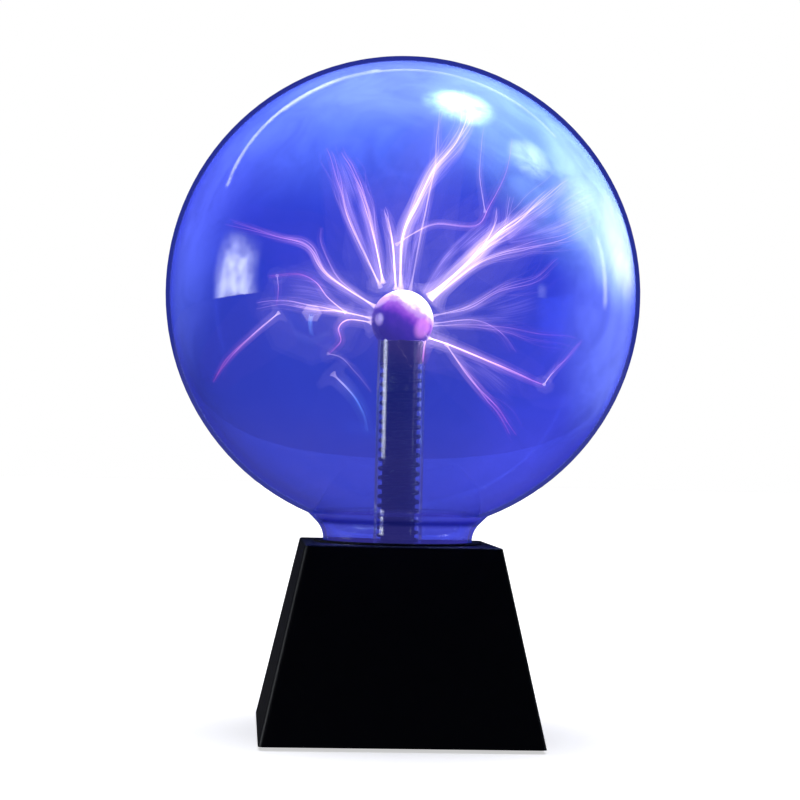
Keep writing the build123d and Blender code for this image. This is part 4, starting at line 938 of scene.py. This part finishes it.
# finishes of the solid pieces; grain, bump and bands are in mm
finishes = {
    "moulded ABS": {    # near-black plastic with a fine satin texture
        "on": ["base_shell"], "colours": ("#040405", "#08080a"), "grain": 0.35, "rough": (0.34, 0.46),
        "bump": 0.015, "index": 1.53},
    "moulded ABS cover": {    # the same black, duller and coarser where hands and tables rub it
        "on": ["base_plate", "globe_cradle"], "colours": ("#0b0b0c", "#121213"), "grain": 0.6,
        "rough": (0.50, 0.66), "bump": 0.03, "index": 1.53},
    "black EPDM rubber": {    # matt, faintly dusty
        "on": ["neck_gasket", "rubber_feet", "microphone_boot"], "colours": ("#090909", "#151515"),
        "grain": 0.5, "rough": (0.72, 0.9), "bump": 0.03, "index": 1.52},
    "grey polyethylene foam": {    # open pale cells
        "on": ["cradle_pad"], "colours": ("#6f7174", "#8d9093"), "grain": 0.8, "rough": (0.85, 0.95),
        "bump": 0.12},
    "zinc-plated steel": {    # bright bluish plating with dull patches
        "on": ["cradle_screws", "base_screws", "board_screws", "transistor_screw"],
        "colours": ("#b7bcc2", "#8f959c"), "grain": 0.9, "rough": (0.22, 0.42), "bump": 0.01, "metal": 1.0},
    "phenolic board laminate": {    # tan sheet with a faint weave
        "on": ["circuit_board"], "colours": ("#7a5a2a", "#8b6a35"), "grain": 0.7, "rough": (0.42, 0.56),
        "bump": 0.02, "index": 1.55},
    "sintered ferrite": {    # dark grey ceramic, speckled
        "on": ["transformer_core"], "colours": ("#232427", "#34363a"), "grain": 0.25, "rough": (0.45, 0.7),
        "bump": 0.02, "index": 1.9},
    "black nylon bobbin": {    # smooth moulded nylon
        "on": ["transformer_bobbin"], "colours": ("#0e0e10", "#191a1c"), "grain": 0.8,
        "rough": (0.34, 0.48), "bump": 0.01, "index": 1.53},
    "enamelled copper wire": {    # close turns, copper under amber enamel, drawn coarser than real so they show
        "on": ["secondary_winding", "primary_winding"], "colours": ("#7c3413", "#b45f26"), "grain": 1.2,
        "rough": (0.22, 0.34), "bump": 0.08, "metal": 0.85, "bands": 0.5},
    "galvanised strap steel": {    # thin pressed strip, rolled along its length
        "on": ["transformer_clip"], "colours": ("#9aa0a4", "#7f8589"), "grain": 1.5, "rough": (0.28, 0.44),
        "bump": 0.01, "metal": 1.0},
    "black anodised aluminium": {    # satin black metal
        "on": ["heatsink"], "colours": ("#0c0d0f", "#17181b"), "grain": 0.3, "rough": (0.34, 0.50),
        "bump": 0.01, "metal": 0.6},
    "moulded epoxy": {    # fine matt black
        "on": ["power_transistor", "control_chip"], "colours": ("#0d0d0e", "#171718"), "grain": 0.2,
        "rough": (0.50, 0.64), "bump": 0.012, "index": 1.55},
    "silicone pad": {    # soft grey sheet
        "on": ["insulating_pad"], "colours": ("#8f9698", "#a1a7a9"), "grain": 0.4, "rough": (0.6, 0.75),
        "bump": 0.01, "index": 1.42},
    "shrunk PVC sleeve": {    # dark blue, glossy, slightly wavy
        "on": ["electrolytic_capacitors"], "colours": ("#10193c", "#16224e"), "grain": 2.5,
        "rough": (0.18, 0.30), "bump": 0.03, "index": 1.53},
    "dipped film case": {    # red-brown moulded box
        "on": ["film_capacitor"], "colours": ("#6a1c12", "#7d2618"), "grain": 1.5, "rough": (0.26, 0.38),
        "bump": 0.01},
    "resistor lacquer": {    # tan lacquer, a little uneven
        "on": ["resistors"], "colours": ("#b08d5c", "#c4a271"), "grain": 0.6, "rough": (0.28, 0.40),
        "bump": 0.02},
    "moulded diode body": {    # black with a faint grain
        "on": ["diode"], "colours": ("#101011", "#1b1b1d"), "grain": 0.2, "rough": (0.44, 0.58),
        "bump": 0.01, "index": 1.55},
    "polished PBT": {    # glossy black switch plastic
        "on": ["switch_housing", "switch_rocker", "dc_jack_body"], "colours": ("#070708", "#0d0d0f"),
        "grain": 0.5, "rough": (0.20, 0.32), "bump": 0.008, "index": 1.55},
    "stamped brass": {    # warm metal, tarnished in patches
        "on": ["switch_contact", "switch_terminals", "dc_jack_contact"], "colours": ("#b8944a", "#94733a"),
        "grain": 0.8, "rough": (0.24, 0.42), "bump": 0.008, "metal": 1.0},
    "nickel plate": {    # bright, slightly warm plating
        "on": ["dc_jack_pin", "dc_jack_nut"], "colours": ("#b5b0a6", "#99958d"), "grain": 0.8,
        "rough": (0.16, 0.30), "bump": 0.006, "metal": 1.0},
    "drawn aluminium can": {    # pale can with faint drawing lines
        "on": ["microphone_capsule"], "colours": ("#a9adb0", "#8e9296"), "grain": 0.5,
        "rough": (0.28, 0.42), "bump": 0.008, "metal": 1.0},
    "PVC hook-up wire": {    # red insulation, softly shiny
        "on": ["jack_wires", "switch_wires"], "colours": ("#7c1512", "#921e19"), "grain": 1.5,
        "rough": (0.32, 0.44), "bump": 0.01, "index": 1.53},
    "thin PVC wire": {    # white insulation, softly shiny
        "on": ["microphone_wires"], "colours": ("#c9c7c0", "#dad8d2"), "grain": 1.2, "rough": (0.32, 0.44),
        "bump": 0.01, "index": 1.53},
    "white nylon plug": {    # waxy off-white
        "on": ["stem_plug"], "colours": ("#b9b6ab", "#cac7bd"), "grain": 1.0, "rough": (0.36, 0.5),
        "bump": 0.01, "index": 1.53},
    "dark PTFE tube": {    # near-black liner that swallows the glow
        "on": ["stem_liner"], "colours": ("#010107", "#02020a"), "grain": 0.8, "rough": (0.75, 0.85),
        "bump": 0.01, "index": 1.35},
    "blackened spring steel": {    # dark scale, dull enough that only its outline shows against the glow
        "on": ["contact_spring"], "colours": ("#010108", "#03030c"), "grain": 0.4, "rough": (0.70, 0.85),
        "bump": 0.006, "index": 1.33},
    "blackened nickel": {    # dark plated cap, out of sight behind the coat
        "on": ["contact_cap"], "colours": ("#0a0a10", "#111118"), "grain": 0.6, "rough": (0.5, 0.65),
        "bump": 0.006, "metal": 0.6},
    "graphite coat": {    # dull painted carbon
        "on": ["electrode_lining"], "colours": ("#020208", "#04040c"), "grain": 0.3, "rough": (0.75, 0.88),
        "bump": 0.015, "index": 1.35},
    "silicone lead": {    # brick-red soft rubber, matt
        "on": ["hv_lead"], "colours": ("#6b1a12", "#7c241a"), "grain": 0.8, "rough": (0.5, 0.64),
        "bump": 0.015, "index": 1.42},
}
solidLook = {
    "grain": {"Detail": 4.0, "Roughness": 0.6},
    "patch": 0.08,                   # patches are this much coarser than the grain
    "patchDetail": 3.0,
    "grainShare": 0.4,
    "range": (0.45, 0.95),
    "bump": 0.8,
    "bandAtOne": math.pi / 10,       # spacing of a wave texture's bands at a scale of 1
}


def solidFinish(title, look):
    material, tree = newMaterial(title)
    place = addNode(tree, "TexCoord").outputs["Object"]
    cells = 1 / (look["grain"] * mm)
    low, high = solidLook["range"]
    grain = addNode(tree, "TexNoise", {"Vector": place, "Scale": cells, **solidLook["grain"]})
    patches = addNode(tree, "TexNoise", {
        "Vector": place, "Scale": solidLook["patch"] * cells, "Detail": solidLook["patchDetail"]})
    mixed = addNode(tree, "Math", {0: grain, 1: solidLook["grainShare"], 2: patches},
                    operation="MULTIPLY_ADD")
    share = addNode(tree, "MapRange", {"Value": mixed, "From Min": low, "From Max": high})
    first, second = look["colours"]
    colour = addNode(tree, "Mix", {"Factor": share, "A": fromHex(first), "B": fromHex(second)},
                     data_type="RGBA").outputs["Result"]
    smoothest, roughest = look["rough"]
    rough = addNode(tree, "MapRange", {
        "Value": mixed, "From Min": low, "From Max": high, "To Min": smoothest, "To Max": roughest})
    height = grain
    if "bands" in look:
        height = addNode(tree, "TexWave", {
            "Vector": place, "Scale": solidLook["bandAtOne"] / (look["bands"] * mm)},
            wave_type="BANDS", bands_direction="Z").outputs["Fac"]
    bump = addNode(tree, "Bump", {
        "Height": height, "Strength": solidLook["bump"], "Distance": look["bump"] * mm})
    surface = {"Base Color": colour, "Roughness": rough, "Normal": bump}
    if "index" in look:
        surface["IOR"] = look["index"]
    if "metal" in look:
        surface["Metallic"] = look["metal"]
    showSurface(tree, addNode(tree, "BsdfPrincipled", surface))
    return material


for title, look in finishes.items():
    finish = solidFinish(title, look)
    for nodeName in look["on"]:
        dress(nodeName, finish)
    if "electrode_lining" in look["on"]:
        skirt.data.materials[0] = finish
print("finishes set:", len(finishes))
